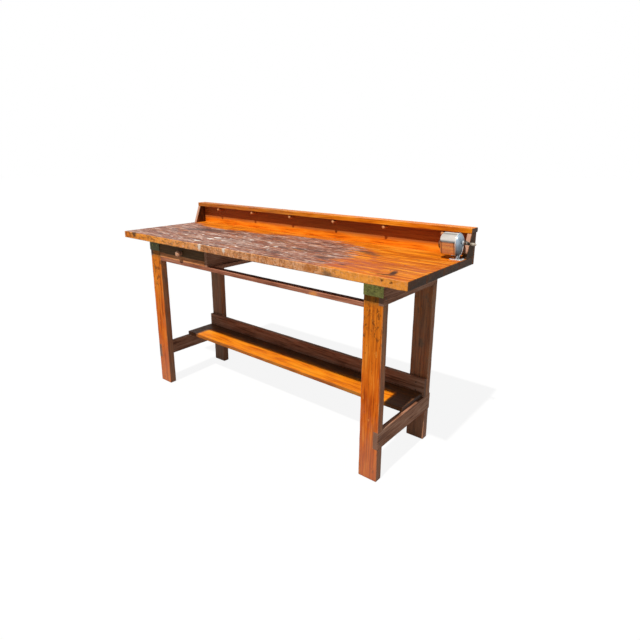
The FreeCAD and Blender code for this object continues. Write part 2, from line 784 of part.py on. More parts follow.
def size_dial():
    """The dial with holes of several pencil sizes; the largest stands before the pencil hole."""
    disc = rod("dial_disc", ("dial_left", "axis_y", "dial_z"), "+x", "dial_radius", "dial_thick")
    bore = rod("dial_bore", ("dial_left - overrun", "axis_y", "dial_z"), "+x",
               "rivet_radius + run_clearance", "dial_thick + 2 * overrun")
    tools = [bore]
    for index in range(DIAL_HOLES):
        turn = f"{index} * 2 * {HALF_TURN} / {DIAL_HOLES}"
        spot = ("dial_left - overrun", f"axis_y + dial_circle * sin({turn})",
                f"dial_z + dial_circle * cos({turn})")
        radius = f"dial_hole_least + dial_hole_step * {DIAL_HOLES - 1 - index}"
        tools.append(rod(f"dial_hole_{index}", spot, "+x", radius, "dial_thick + 2 * overrun"))
    node(cut("dial_cut", disc, tools), "size_dial")


def sharpener_stand(screws):
    """The cast stand: foot, stem, end plate of the drum's outline and the crank's bearing."""
    foot = board("stand_foot", ("stand_in - foot_left", "axis_y - foot_half", "top_height"),
                 "foot_left + stand_thick + foot_right", "2 * foot_half", "foot_thick")
    stem = board("stand_stem", ("stand_in", "axis_y - stem_half", "top_height"),
                 "stand_thick", "2 * stem_half", "axis_up")
    plate = drum_block("stand_plate", "stand_in", "stand_thick", "stand_rim")
    boss = rod("stand_boss", ("stand_out", "axis_y", "axis_z"), "+x", "boss_radius", "boss_long")
    bore = rod("stand_bore", ("stand_in - overrun", "axis_y", "axis_z"), "+x",
               "shaft_radius + run_clearance", "stand_thick + boss_long + 2 * overrun")
    casting = fused("stand_casting", [foot, stem, plate, boss])
    node(cut("stand_cut", casting, [bore, screws]), "sharpener_stand")


def tooth_points(pitch, inner, outer, half_at_pitch, lean):
    """A straight-sided tooth about the local Y axis, between two radii; its sides lean as given."""
    slope = f"tan({PRESSURE_ANGLE})"
    points = []
    for side, radius in (("-", inner), ("", inner), ("", outer), ("-", outer)):
        width = f"{half_at_pitch} {lean} (({radius}) - ({pitch})) * {slope}"
        points.append((f"{side}({width})", radius))
    return points


def ring_gear():
    """The fixed inner gear that rolls the cutters round; a space between teeth stands uppermost."""
    body = doc.addObject("PartDesign::Body", "ring_teeth")
    half = "tooth_module * pi / 4"
    points = tooth_points("ring_pitch", "ring_pitch - tooth_rise", "ring_bore", half, "+")
    tooth = padded(body, polygon(body, "YZ_Plane", "ring_tooth", points), "pinion_face")
    doc.recompute()
    turned_pattern(body, tooth, RING_TEETH)
    half_pitch = HALF_TURN / RING_TEETH
    place(body, ("stand_in - ring_seat - pinion_face", "axis_y", "axis_z"))
    body.Placement = FreeCAD.Placement(body.Placement.Base, FreeCAD.Rotation(X_AXIS, half_pitch))
    left = "stand_in - ring_seat - pinion_face"
    rim = rod("ring_rim", (left, "axis_y", "axis_z"), "+x", "ring_outer", "pinion_face + ring_seat")
    root = rod("ring_root", (left, "axis_y", "axis_z"), "+x", "ring_pitch + tooth_root", "pinion_face")
    seat = rod("ring_seat_bore", ("stand_in - ring_seat", "axis_y", "axis_z"), "+x",
               "ring_bore", "ring_seat + overrun")
    shell = cut("ring_shell", rim, [root, seat])
    node(fused("ring_solid", [shell, body]), "ring_gear")


def along_cutter(name, upper):
    """Tilts a piece onto a cutter's axis, which spreads towards the pencil."""
    thing = doc.getObject(name)
    sign = "+" if upper else "-"
    place(thing, ("pinion_right", "axis_y", f"axis_z {sign} pinion_start"))
    lean = FreeCAD.Rotation(Y_AXIS, number("atan(cutter_slope)") * (1 if upper else -1))
    flip = FreeCAD.Rotation(X_AXIS, 0 if upper else HALF_TURN)
    about = FreeCAD.Rotation(FreeCAD.Vector(0, 0, 1), HALF_TURN)
    thing.Placement = FreeCAD.Placement(thing.Placement.Base, lean * flip * about)
    return thing


def cutter(label, upper):
    """A fluted roll with its pinion; its own X runs from the pinion towards the pencil."""
    body = doc.addObject("PartDesign::Body", label + "_teeth")
    half = "(tooth_module * pi / 2 - tooth_play) / 2"
    points = tooth_points("pinion_pitch", "cutter_pin_radius + run_clearance + tooth_root",
                          "pinion_pitch + tooth_rise", half, "-")
    tooth = padded(body, polygon(body, "YZ_Plane", label + "_tooth", points), "pinion_face")
    doc.recompute()
    turned_pattern(body, tooth, PINION_TEETH)
    hub = rod(label + "_hub", ORIGIN, "+x", "pinion_pitch - tooth_root", "roll_start")
    roll = rod(label + "_roll", ("roll_start", "0", "0"), "+x", "cutter_radius", "cutter_long")
    flutes = []
    for index in range(CUTTER_FLUTES):
        turn = f"{index} * 2 * {HALF_TURN} / {CUTTER_FLUTES}"
        spot = ("roll_start", f"cutter_radius * sin({turn})", f"cutter_radius * cos({turn})")
        flutes.append(rod(f"{label}_flute_{index}", spot, "+x", "flute_radius", "cutter_long + overrun"))
    bore = rod(label + "_bore", ("-overrun", "0", "0"), "+x", "cutter_pin_radius + run_clearance",
               "roll_start + cutter_long + 2 * overrun")
    solid = fused(label + "_solid", [body, hub, roll])
    cut(label + "_fluted", solid, flutes + [bore])
    node(along_cutter(label + "_fluted", upper), label)


def cutter_pins():
    """The two pins that the cutters turn on, from the carrier's plate to its nose."""
    pieces = []
    for upper in (True, False):
        name = "cutter_pin_upper" if upper else "cutter_pin_lower"
        back = "plate_thick + cutter_end_gap"
        rod(name + "_rod", (f"-({back})", "0", "0"), "+x", "cutter_pin_radius",
            f"{back} + roll_start + cutter_long + cutter_end_gap + nose_thick")
        grouped(name, [doc.getObject(name + "_rod")])
        pieces.append(along_cutter(name, upper))
    return node(grouped("cutter_pins", pieces), "cutter_pins")


def cutter_carrier(pins):
    """The carrier that the crank turns: shaft, plate, two bars and a nose with a pencil hole."""
    shaft = rod("carrier_shaft", ("plate_left", "axis_y", "axis_z"), "+x", "shaft_radius",
                "arm_out + nut_tall - plate_left")
    plate = rod("carrier_plate", ("plate_left", "axis_y", "axis_z"), "+x", "plate_radius", "plate_thick")
    nose = rod("carrier_nose", ("nose_right - nose_thick", "axis_y", "axis_z"), "+x",
               "nose_radius", "nose_thick")
    bars = []
    for name, low in (("front", "axis_y - bar_out"), ("back", "axis_y + bar_in")):
        bars.append(board(f"carrier_bar_{name}", ("nose_right - nose_thick", low, "axis_z - bar_half"),
                          "plate_right - nose_right + nose_thick", "bar_out - bar_in", "2 * bar_half"))
    hole = rod("nose_hole", ("nose_right - nose_thick - overrun", "axis_y", "axis_z"), "+x",
               "nose_hole_radius", "nose_thick + 2 * overrun")
    solid = fused("carrier_solid", [shaft, plate, nose] + bars)
    return node(cut("carrier_cut", solid, [hole, pins]), "cutter_carrier")


def crank(carrier):
    """The arm on the shaft's end, its nut, and the grip that turns on a pin."""
    bar = board("arm_bar", ("0", "0", "-arm_half"), "arm_thick", "arm_long", "2 * arm_half")
    eye = rod("arm_eye", ORIGIN, "+x", "arm_half + arm_thick", "arm_thick")
    tip = rod("arm_tip", ("0", "arm_long", "0"), "+x", "arm_half", "arm_thick")
    arm = place(fused("arm_solid", [bar, eye, tip]), ("arm_in", "axis_y", "axis_z"))
    arm.Placement = FreeCAD.Placement(arm.Placement.Base,
                                      FreeCAD.Rotation(X_AXIS, -number("arm_droop")))
    pin_spot = ("arm_in", "grip_y", "grip_z")
    head_in = "grip_in + grip_long + grip_gap"
    shank = rod("grip_pin_shank", pin_spot, "+x", "grip_pin_radius", f"{head_in} - arm_in")
    head = rod("grip_pin_head", (head_in, "grip_y", "grip_z"), "+x",
               "grip_pin_head_radius", "grip_pin_head_tall")
    pin = node(fused("grip_pin_solid", [shank, head]), "grip_pin")
    node(cut("arm_bored", arm, [carrier, pin]), "crank_arm")
    nut = primitive("Part::Prism", "nut_blank", ("arm_out", "axis_y", "axis_z"), "+x",
                    Circumradius="shaft_radius + nut_wall", Height="nut_tall")
    node(cut("nut_bored", nut, [carrier]), "crank_nut")
    blank = rod("grip_blank", ("grip_in", "grip_y", "grip_z"), "+x", "grip_radius", "grip_long")
    smooth = rounded("grip_smooth", blank, "grip_round", lambda edge: edge.Curve.TypeId == "Part::GeomCircle")
    bore = rod("grip_bore", ("grip_in - overrun", "grip_y", "grip_z"), "+x",
               "grip_pin_radius + run_clearance", "grip_long + 2 * overrun")
    node(cut("grip_bored", smooth, [bore]), "crank_grip")


def sharpener(screws):
    sharpener_stand(screws)
    sharpener_drum()
    size_dial()
    ring_gear()
    pins = cutter_pins()
    cutter("cutter_upper", True)
    cutter("cutter_lower", False)
    crank(cutter_carrier(pins))


def build():
    top_nails = top_fasteners()
    apron_nails = end_nails("apron_nails", "apron_low", "apron_tall")
    stretcher_nails = end_nails("stretcher_nails", "stretcher_low", "stretcher_tall")
    shelf_nails = shelf_fasteners()
    back_rail_nails = back_rail_fasteners()
    bracket_screws = bracket_fasteners()
    backboard_screws = backboard_fasteners()
    cap_nails = cap_fasteners()
    drawer_brads = drawer_fasteners()
    runner_screws = case_fasteners()
    sharpener_screws = stand_fasteners()
    top_boards([top_nails, bracket_screws, backboard_screws, sharpener_screws])
    leg_tools = [apron_nails, stretcher_nails, bracket_screws, back_rail_nails]
    for side in ("left", "right"):
        leg(f"leg_front_{side}", side == "left", "leg_front", leg_tools)
        leg(f"leg_back_{side}", side == "left", "rear_leg_front", leg_tools)
        end_boards(side, [top_nails, apron_nails, stretcher_nails, shelf_nails])
    shelf_and_rails([shelf_nails], [back_rail_nails])
    gallery([backboard_screws, cap_nails, pegs()], [backboard_screws, cap_nails], [cap_nails])
    brackets([bracket_screws])
    drawer_front(drawer_brads, drawer_pull())
    drawer_box(drawer_brads)
    drawer_case(top_nails, runner_screws)
    sharpener(sharpener_screws)


def write():
    doc.recompute()
    failed = [thing.Name for thing in doc.Objects if {"Invalid", "Error"} & set(thing.State)]
    failed += [thing.Label for thing in nodes if thing.Shape.isNull() or not thing.Shape.isValid()]
    if failed:
        raise RuntimeError("failed: " + ", ".join(failed))
    os.makedirs("parts", exist_ok=True)
    for thing in nodes:
        thing.Shape.exportStep(f"parts/{thing.Label}.step")
    print(len(nodes), "sub-parts written")


build()
write()
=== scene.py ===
import json
from functools import partial
from math import pi, radians, tau

import bpy
import numpy as np
from bpy.props import FloatProperty, FloatVectorProperty, PointerProperty
from mathutils import Euler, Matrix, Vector


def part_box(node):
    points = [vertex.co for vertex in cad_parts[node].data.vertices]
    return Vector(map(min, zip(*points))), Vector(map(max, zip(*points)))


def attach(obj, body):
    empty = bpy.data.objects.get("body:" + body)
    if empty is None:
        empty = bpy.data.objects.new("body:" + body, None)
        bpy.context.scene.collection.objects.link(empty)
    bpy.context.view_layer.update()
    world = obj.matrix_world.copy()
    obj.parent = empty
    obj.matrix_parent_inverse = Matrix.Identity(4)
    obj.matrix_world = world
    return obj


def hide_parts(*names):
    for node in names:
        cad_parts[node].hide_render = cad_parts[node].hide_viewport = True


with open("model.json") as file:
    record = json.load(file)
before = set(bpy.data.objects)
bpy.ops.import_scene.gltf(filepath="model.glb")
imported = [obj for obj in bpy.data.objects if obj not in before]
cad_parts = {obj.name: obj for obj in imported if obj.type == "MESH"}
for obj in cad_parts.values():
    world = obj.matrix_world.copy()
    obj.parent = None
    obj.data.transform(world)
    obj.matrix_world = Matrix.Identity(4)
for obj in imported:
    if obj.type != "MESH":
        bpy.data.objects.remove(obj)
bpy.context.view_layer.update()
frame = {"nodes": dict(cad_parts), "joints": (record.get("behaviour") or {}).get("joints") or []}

bl_info = {
    "name": "Woodworking Bench",
    "version": (1, 0, 0),
    "blender": (4, 5, 0),
    "location": "3D View > Sidebar > Bench",
    "description": "Dresses the woodworking bench in worn varnished boards, old paint and plated metal",
    "category": "Object",
}

MM = 0.001
X, Y, Z = 0, 1, 2
TOP_BOARDS = ("top_board_front", "top_board_front_middle", "top_board_back_middle", "top_board_back")
LEGS = ("leg_front_left", "leg_front_right", "leg_back_left", "leg_back_right")
# how much painted shade the rear legs' front faces get, as they stand in the top's shadow; the front legs'
# get none
LEG_SHADE = {"leg_back_left": 0.95, "leg_back_right": 0.7}
# the screws' places, as shares of an angle plate's width and of the top's length
PAIR_SHARES = (0.28, 0.72)
BACKBOARD_SHARES = (0.05, 0.2, 0.35, 0.5, 0.65, 0.8, 0.95)
PEGS = 6
# the boards' edges are nicked about this often, in metres
NICK_SPACING = 0.09
# the two ways of running from one value to another
SMOOTH, EVEN = "SMOOTHSTEP", "LINEAR"
# from one board to the next in the wood's pattern, in metres
BOARD_STEP = (1.7, 2.3, 3.1)
# rings over the whole range of the noise that draws them, and the places of a wood's four tones
RINGS = 15
TONE_PLACES = (0.15, 0.38, 0.62, 0.85)
# the ragged rims of single marks: the size of a rag and how far the rim strays, in metres
MARK_GRAIN, MARK_REACH = 0.012, 0.02


def linear(code):
    """An sRGB hex colour as linear RGBA."""
    srgb = np.array([int(code[i:i + 2], 16) for i in (1, 3, 5)]) / 255
    rgb = np.where(srgb <= 0.04045, srgb / 12.92, ((srgb + 0.055) / 1.055) ** 2.4)
    return (*rgb.tolist(), 1.0)


def corners(node):
    """A CAD node's lowest and highest corners as arrays, in metres."""
    low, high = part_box(node)
    return np.array(low), np.array(high)


TOP_LOW, TOP_HIGH = corners("top_board_front")


def measure(name, description, size):
    """A length that the user can change, with its default in millimetres."""
    return FloatProperty(name=name, description=description, default=size * MM, unit="LENGTH")


def tint(name, description, code):
    """A colour that the user can change, with its default as a hex value."""
    return FloatVectorProperty(name=name, description=description, default=linear(code), size=4,
                               subtype="COLOR")


class BenchSizes(bpy.types.PropertyGroup):
    """Sizes of the boards' easing and of the turned and plated pieces."""
    ease: measure("Eased edge", "Radius that use has worn on a board's edges", 1.6)
    top_ease: measure("Top edge", "Radius worn on the edges of the top", 2.4)
    foot_ease: measure("Foot edge", "Radius worn on the legs' feet", 4)
    cap_round: measure("Cap round", "Radius of the cap's back edges", 6.8)
    proud: measure("Nails stand proud", "How far the wood lies under the nail heads", 0.2)
    drum_round: measure("Drum round", "Radius of the shavings drum's closed end", 20)
    drum_corner: measure("Drum corner", "Radius of the drum's two low corners", 14)
    drum_low: measure("Drum low half", "Half the drum's width at its flat bottom", 24)
    drum_wall: measure("Drum wall", "Thickness of the drum's sheet metal", 1.5)
    stand_rim: measure("Stand rim", "How much wider the stand's plate is than the drum", 3)
    stand_dome: measure("Stand dome", "How far the stand's plate bulges", 16)


class BenchColours(bpy.types.PropertyGroup):
    """Colours that set the bench's look."""
    stain: tint("Worn top", "Middle tone of the worn, stained top", "#885f50")
    dried_paint: tint("Dried paint", "Paint spilt on the top", "#ece2da")
    bracket: tint("Bracket paint", "Old paint on the angle plates", "#d6d678")


def sizes():
    """The sizes that the user sees in the sidebar."""
    return bpy.context.scene.bench_sizes


def colours():
    """The colours that the user sees in the sidebar."""
    return bpy.context.scene.bench_colours


def darker(colour, share):
    """A share of a linear colour, as RGBA."""
    return (*(share * part for part in colour[:3]), 1.0)


def add(tree, kind, *inputs, at=None, ramp=(), **settings):
    """Adds a shader node with its settings and links, and returns its outputs. The inputs go to its sockets
    in order, or to those named by at; each is a value, a hex colour or another node's output."""
    made = tree.nodes.new("ShaderNode" + kind)
    for name, value in settings.items():
        setattr(made, name, value)
    for socket, value in {**dict(enumerate(inputs)), **(at or {})}.items():
        if isinstance(value, bpy.types.NodeSocket):
            tree.links.new(value, made.inputs[socket])
        else:
            made.inputs[socket].default_value = linear(value) if isinstance(value, str) else value
    if ramp:
        stops = made.color_ramp.elements
        while len(stops) < len(ramp):
            stops.new(1.0)
        for stop, (place, colour) in zip(stops, ramp):
            stop.position = place
            stop.color = linear(colour) if isinstance(colour, str) else colour
    return made.outputs


class Finish:
    """One material: its nodes, the values that it reads from the points, and its colour so far."""

    def __init__(self, name, reads=(), **sockets):
        self.material = bpy.data.materials.new(name)
        self.material.use_nodes = True
        self.tree = self.material.node_tree
        self.add = partial(add, self.tree)
        self.shader = self.tree.nodes["Principled BSDF"]
        for socket, value in sockets.items():
            self.shader.inputs[socket.replace("_", " ")].default_value = value
        self.mask = {read: self.add("Attribute", attribute_name=read)["Fac"] for read in ("board", *reads)}
        self.place = self.add("TexCoord")["Object"]
        # every board cuts its figure from another part of the pattern
        self.moved = self.add("VectorMath", self.mask["board"], BOARD_STEP, self.place,
                              operation="MULTIPLY_ADD")[0]
        self.colour = None

    def grains(self, along, across, long, detail=4.0, rough=0.6, still=False):
        """Noise whose grains are this wide, and this long along one axis, in metres."""
        scale = [1 / across] * 3
        scale[along] = 1 / long
        spot = self.add("Mapping", at={"Vector": self.place if still else self.moved, "Scale": scale})[0]
        return self.add("TexNoise", at={"Vector": spot, "Scale": 1.0, "Detail": detail,
                                        "Roughness": rough})["Fac"]

    def ragged(self, value, grains, reach=1.0):
        """A value whose level lines are made ragged by grains of noise."""
        return self.add("Math", grains, reach, value, operation="MULTIPLY_ADD")[0]

    def coated(self, under, paint, value, low=0.0, high=1.0, most=1.0, ease=SMOOTH):
        """A colour under paint: none of it where the value is low, and the most of it where it is high."""
        share = self.add("MapRange", value, low, high, 0.0, most, interpolation_type=ease)[0]
        return self.add("Mix", at={0: share, 6: under, 7: paint}, data_type="RGBA")[2]

    def lay(self, paint, *where, **limits):
        """Lays paint over the colour so far, where coated says."""
        self.colour = self.coated(self.colour, paint, *where, **limits)

    def bent(self, grain, reach):
        """The place, pushed about by up to half a reach in patches of one grain."""
        patch = self.add("TexNoise", at={"Vector": self.place, "Scale": 1 / grain})["Color"]
        push = self.add("VectorMath", patch, (0.5, 0.5, 0.5), operation="SUBTRACT")[0]
        return self.add("VectorMath", push, (reach,) * 3, self.place, operation="MULTIPLY_ADD")[0]

    def mark(self, paint, centre, half, turn=0.0, most=1.0):
        """Lays paint on a ragged ellipse with these half sizes, turned about Z, fading out to its rim."""
        spot = self.add("Mapping", at={"Vector": self.bent(MARK_GRAIN, MARK_REACH), "Location": centre,
                                       "Rotation": (0, 0, turn), "Scale": half}, vector_type="TEXTURE")[0]
        far = self.add("VectorMath", spot, operation="LENGTH")["Value"]
        self.lay(paint, far, 1.0, 0.35, most)

    def done(self, gloss, height, depth):
        """Feeds the colour, the gloss and a bump of the given depth to the shader."""
        bump = self.add("Bump", at={"Strength": 0.6, "Distance": depth, "Height": height})[0]
        for socket, value in (("Base Color", self.colour), ("Roughness", gloss), ("Normal", bump)):
            self.tree.links.new(value, self.shader.inputs[socket])
        return self.material


class Timber(Finish):
    """Softwood: growth lines are level lines of a long soft noise, with fibres and mottling over them."""

    def __init__(self, name, along, tones, reads=()):
        super().__init__(name, ("edge", "end", "dull", *reads), IOR=1.5, Specular_IOR_Level=0.08)
        self.along = along
        # growth rings about 15 mm apart, drawn out over the length as flat sawing cuts them
        broad = self.grains(along, 0.1, 1.3, 2.0, 0.5)
        rings = self.add("Math", broad, tau * RINGS, operation="MULTIPLY")[0]
        self.wave = self.add("Math", rings, operation="SINE")[0]
        # fibres are under a millimetre; they are drawn 4 mm wide so that they show
        self.fibre = self.grains(along, 0.004, 0.14, 4.0, 0.65)
        mottle = self.grains(along, 0.035, 0.16, 3.0)
        tone = self.ragged(self.figure(0.055), mottle, 0.75)
        depth = self.add("MapRange", tone, 0.5, 1.25, interpolation_type=SMOOTH)[0]
        self.colour = self.add("ValToRGB", depth, ramp=tuple(zip(TONE_PLACES, tones)))[0]

    def figure(self, share):
        """The fibres, with a share of the rings added."""
        return self.ragged(self.fibre, self.wave, share)

    def height(self):
        """The height over the floor, in metres."""
        return self.add("SeparateXYZ", self.place)["Z"]

    def wear(self, worn, end, dull, rubbed=0.45):
        """Edges rubbed to paler wood and painted sunlight where a face's pale share says, painted shade on
        faces turned from the light, and dark end grain, where the points say.
        """
        patch = self.grains(self.along, 0.02, 0.06, 3.0)
        edge = self.add("Math", self.mask["edge"], patch, operation="MULTIPLY")[0]
        self.lay(worn, edge, 0.3, 0.7, rubbed)
        # the painted shade is darker in the grain's hollows
        deep = darker(linear(dull), 0.6)
        shaded_tone = self.add("ValToRGB", self.figure(0.05), ramp=((0.38, deep), (0.6, dull)))[0]
        thick = self.add("Math", patch, 0.5)[0]
        painted_shade = self.add("Math", thick, self.mask["dull"], operation="MULTIPLY")[0]
        self.lay(shaded_tone, painted_shade, 0.0, 1.1, 0.93)
        self.lay(end, self.mask["end"], most=0.9, ease=EVEN)

    def varnished(self, rough, depth=0.3 * MM):
        """Gloss broken by the fibres, and a shallow relief of fibres and rings."""
        gloss = self.add("MapRange", self.fibre, 0.3, 0.7, rough - 0.08, rough + 0.1,
                         interpolation_type=SMOOTH)[0]
        return self.done(gloss, self.figure(0.15), depth)


# the plain woods made so far
FINISHES = {}
# each wood's four tones from dark to pale, its rubbed edges, end grain, the tone of painted shade on faces
# turned from the light, and its roughness
WOODS = {
    # orange shellac over fir: warm red-orange with fine darker lines and a dry, low sheen
    "shellacked_fir": (("#a8440a", "#d0600f", "#dc6c14", "#ea8a30"), "#cf8650", "#6a3c20", "#ae8a70", 0.5),
    # varnish over a cleaner, more golden board
    "varnished_pine": (("#b85a08", "#da760c", "#e48412", "#f29c2c"), "#cf8456", "#41302a", "#8a5636", 0.45),
    # a browner, greyer copy of the fir for the rails, end boards and drawer case, which paints the shade
    # they stand in; hardly any gloss
    "aged_brown_fir": (("#7c5038", "#a8745a", "#bb886c", "#cc9e84"), "#9c7058", "#7e5e4e", "#94705a", 0.6),
    # bare, dusty softwood: pale brown and dry
    "bare_pine": (("#8a5c34", "#a87848", "#bd8e5c", "#d0a878"), "#d8b080", "#7c5430", "#80603f", 0.65),
    # turned beech handled bare: a pale pinkish tan
    "handled_turned_beech": (("#a4683c", "#c08050", "#cf905e", "#dca478"), "#d8a07a", "#cf905e", "#a07048",
                             0.5),
    # turned beech stained red-brown and polished by hands
    "handled_stained_beech": (("#a06848", "#c48a68", "#d49c7c", "#e4b89c"), "#e6bca0", "#cc9474", "#8a5a40",
                              0.4),
}


def timber(kind, along):
    """One of the wood finishes with its grain along an axis, made when first asked for."""
    key = f"{kind}_{'xyz'[along]}"
    if key not in FINISHES:
        tones, worn, end, dull, rough = WOODS[kind]
        wood = Timber(key, along, tones)
        wood.wear(worn, end, dull)
        FINISHES[key] = wood.varnished(rough)
    return FINISHES[key]


def leg_wood():
    """The legs' shellacked fir, with dark scuffs where work was dragged past and dull, knocked feet."""
    tones, worn, end, dull, rough = WOODS["shellacked_fir"]
    wood = Timber("scuffed_shellacked_fir", Z, tones)
    height = wood.height()
    # the shellac is yellower above and redder below, with dark growth lines 9 mm wide
    wood.lay("#e4861e", wood.ragged(height, wood.grains(Z, 0.05, 0.2), 0.4), 0.6, 0.95, 0.55)
    wood.lay("#9a420c", wood.grains(Z, 0.009, 0.3, 3.0), 0.52, 0.64, 0.7)
    # scuffs up to 30 mm long gather below the top, with fewer near the floor
    below_top = wood.add("MapRange", height, 0.5, 0.68, 0.0, 0.1, interpolation_type=SMOOTH)[0]
    near_floor = wood.add("MapRange", height, 0.0, 0.3, 0.04, 0.0, interpolation_type=SMOOTH)[0]
    near = wood.add("Math", below_top, near_floor)[0]
    wood.lay("#643816", wood.ragged(near, wood.grains(Z, 0.016, 0.03, 6.0, 0.7)), 0.62, 0.69, 0.75)
    # pale chips, 12 mm wide
    wood.lay("#e8943c", wood.grains(Z, 0.012, 0.03, 5.0, 0.65), 0.62, 0.68, 0.6)
    # the feet are scuffed pinkish and dull
    foot = wood.add("Math", height, wood.grains(Z, 0.03, 0.08), -0.02, operation="MULTIPLY_ADD")[0]
    wood.lay("#b8765c", foot, 0.16, 0.0, 0.5)
    # painted shadow of the top's overhang, a dark band across the legs just under it
    wood.lay("#6e5426", wood.ragged(height, wood.grains(Z, 0.03, 0.03), 0.02), 0.765, 0.79, 0.5)
    # a knot in the right rear leg
    wood.mark("#3a2010", (0.732, corners("leg_back_right")[0][Y], 0.488), (0.02, 0.03, 0.03))
    wood.wear(worn, end, dull)
    return wood.varnished(rough)


def backboard_wood():
    """The backboard's shellac: bright near the top it rises from, with the cap's shadow painted red-brown
    over its upper part.
    """
    _, worn, end, dull, rough = WOODS["shellacked_fir"]
    wood = Timber("darkening_shellacked_fir", X, ("#c05a08", "#e87a10", "#f28814", "#fa9c28"))
    low, high = corners("gallery_backboard")
    # the cap's shadow, painted red-brown over the upper part with a ragged lower edge
    uneven = wood.add("Math", wood.fibre, -0.5)[0]
    cap_shadow = wood.add("ValToRGB", wood.fibre, ramp=((0.3, "#86481f"), (0.7, "#ac6438")))[0]
    wood.lay(cap_shadow, wood.ragged(wood.height(), uneven, 0.03), high[Z] - 0.082, high[Z] - 0.06, 0.85)
    # the sharpener's shadow, painted dark on it behind the sharpener
    wood.mark("#2e1a10", (TOP_HIGH[X] - 0.047, low[Y], TOP_HIGH[Z] + 0.02), (0.05, 0.03, 0.055), most=0.9)
    wood.wear(worn, end, dull)
    return wood.varnished(rough)


def shelf_wood():
    """The shelf's golden varnish, streaked along its grain, with painted shade dark behind and at its ends.
    """
    wood = Timber("dusty_varnished_pine", X, ("#c05c06", "#e67c0a", "#ee8a10", "#f69c20"))
    wood.lay("#a85408", wood.grains(X, 0.012, 0.4), 0.52, 0.64, 0.4)
    # the third colour is the painted shade's tone
    wood.wear("#c8743c", "#41302a", "#64493a")
    return wood.varnished(0.5)


def gallery_end_wood():
    """The sloped ends: dark brown varnish, with painted shade darker still on the faces turned from the
    light, and painted sunlight making the front edge pale pinkish.
    """
    wood = Timber("dark_varnished_fir", Z, ("#6a3c1c", "#94561f", "#a8662c", "#b87a44"))
    wood.wear("#c89880", "#4a3424", "#35281b", 0.9)
    return wood.varnished(0.55)


def worn_top():
    """The top's shellac, worn through by work: a stained field, dark patches, spilt paint, a rubbed edge."""
    # shellac survives at the back and the right; elsewhere the wood has gone purple-brown and dry
    wood = Timber("worn_shellacked_top", X, ("#a84c06", "#d66e0c", "#e27e10", "#f09828"), tuple(TOP_MASKS))
    # darker and paler growth lines, in streaks 13 to 18 mm wide and up to half a metre long
    for paint, across, long, low, high, most in (("#b04c08", 0.018, 0.5, 0.5, 0.6, 0.85),
                                                 ("#7c340c", 0.014, 0.3, 0.55, 0.63, 0.75),
                                                 ("#ffab3c", 0.013, 0.35, 0.54, 0.62, 0.75)):
        wood.lay(paint, top_streaks(wood, across, long), low, high, most)
    rub_front_edge(wood)
    # reddish wear where the shellac has thinned
    thin = wood.add("Math", top_streaks(wood, 0.012, 0.2), top_streaks(wood, 0.025, 0.07))[0]
    wood.lay("#a8523a", wood.ragged(wood.mask["rust"], thin), 1.3, 1.6, 0.85)
    stain_top(wood)
    spill_paint(wood)
    wood.wear("#e0a068", "#3c2e24", "#6a4a34", 0.5)
    mark_top(wood)
    return wood.varnished(0.5, 0.4 * MM)


def top_streaks(wood, across, long, rough=0.65):
    """Noise in streaks along the top, running on from board to board."""
    return wood.grains(X, across, long, 5.0, rough, still=True)


def rub_front_edge(wood):
    """The front edge: rubbed to orange at its ends and tan in its middle, with dirt in spots 15 to 25 mm
    long, bare spots 10 to 15 mm long and upright nicks 7 mm wide."""
    pale = wood.mask["pale"]
    bared = wood.add("ValToRGB", pale, ramp=((0.3, "#ffa63c"), (0.75, "#d69a6c")))[0]
    share = wood.add("MapRange", pale, 0.1, 0.45, 0.0, 0.9, interpolation_type=SMOOTH)[0]
    patchy = wood.add("MapRange", top_streaks(wood, 0.02, 0.03), 0.35, 0.55, 0.6, 1.0,
                      interpolation_type=SMOOTH)[0]
    wood.lay(bared, wood.add("Math", share, patchy, operation="MULTIPLY")[0], ease=EVEN)
    nicks = wood.grains(Z, 0.007, 0.03, 5.0, 0.7, still=True)
    for paint, mask, grains, low, high, most in (
            ("#7c4a28", wood.mask["grimy"], top_streaks(wood, 0.014, 0.024), 0.48, 0.58, 1.2),
            ("#e6b592", pale, top_streaks(wood, 0.009, 0.014), 0.5, 0.6, 0.8),
            ("#95582c", pale, nicks, 0.5, 0.58, 0.75)):
        spots = wood.add("MapRange", grains, low, high, 0.0, most, interpolation_type=SMOOTH)[0]
        wood.lay(paint, wood.add("Math", mask, spots, operation="MULTIPLY")[0])


def stain_top(wood):
    """Stains that run with the grain: blotches 60 mm wide, streaks 13 mm wide and torn spots 10 mm wide, red
    in places, with darker patches over them."""
    blotches = wood.ragged(top_streaks(wood, 0.013, 0.12), top_streaks(wood, 0.06, 0.2), 0.6)
    tone = wood.ragged(blotches, top_streaks(wood, 0.01, 0.025), 0.7)
    depth = wood.add("MapRange", tone, 0.99, 1.31, interpolation_type=SMOOTH)[0]
    middle = tuple(colours().stain)
    stain = wood.add("ValToRGB", depth, ramp=((0.05, "#4a3836"), (0.28, "#6c4d43"), (0.5, middle),
                                              (0.72, "#9e786a"), (0.95, "#c6aca0")))[0]
    stain = wood.coated(stain, "#94503a", top_streaks(wood, 0.02, 0.12), 0.48, 0.62, 0.65)
    border = wood.add("Math", top_streaks(wood, 0.025, 0.25), top_streaks(wood, 0.012, 0.1))[0]
    torn_border = wood.ragged(wood.mask["stain"], border)
    field = wood.add("MapRange", torn_border, 1.3, 1.56, interpolation_type=SMOOTH)[0]
    broken = wood.add("MapRange", top_streaks(wood, 0.014, 0.15), 0.36, 0.48, 0.55, 0.97,
                      interpolation_type=SMOOTH)[0]
    wood.lay(stain, wood.add("Math", field, broken, operation="MULTIPLY")[0], ease=EVEN)
    torn = wood.ragged(top_streaks(wood, 0.03, 0.1), top_streaks(wood, 0.011, 0.09), 1.6)
    wood.lay("#40302e", wood.ragged(wood.mask["dark"], torn), 1.7, 2.0, 0.75)


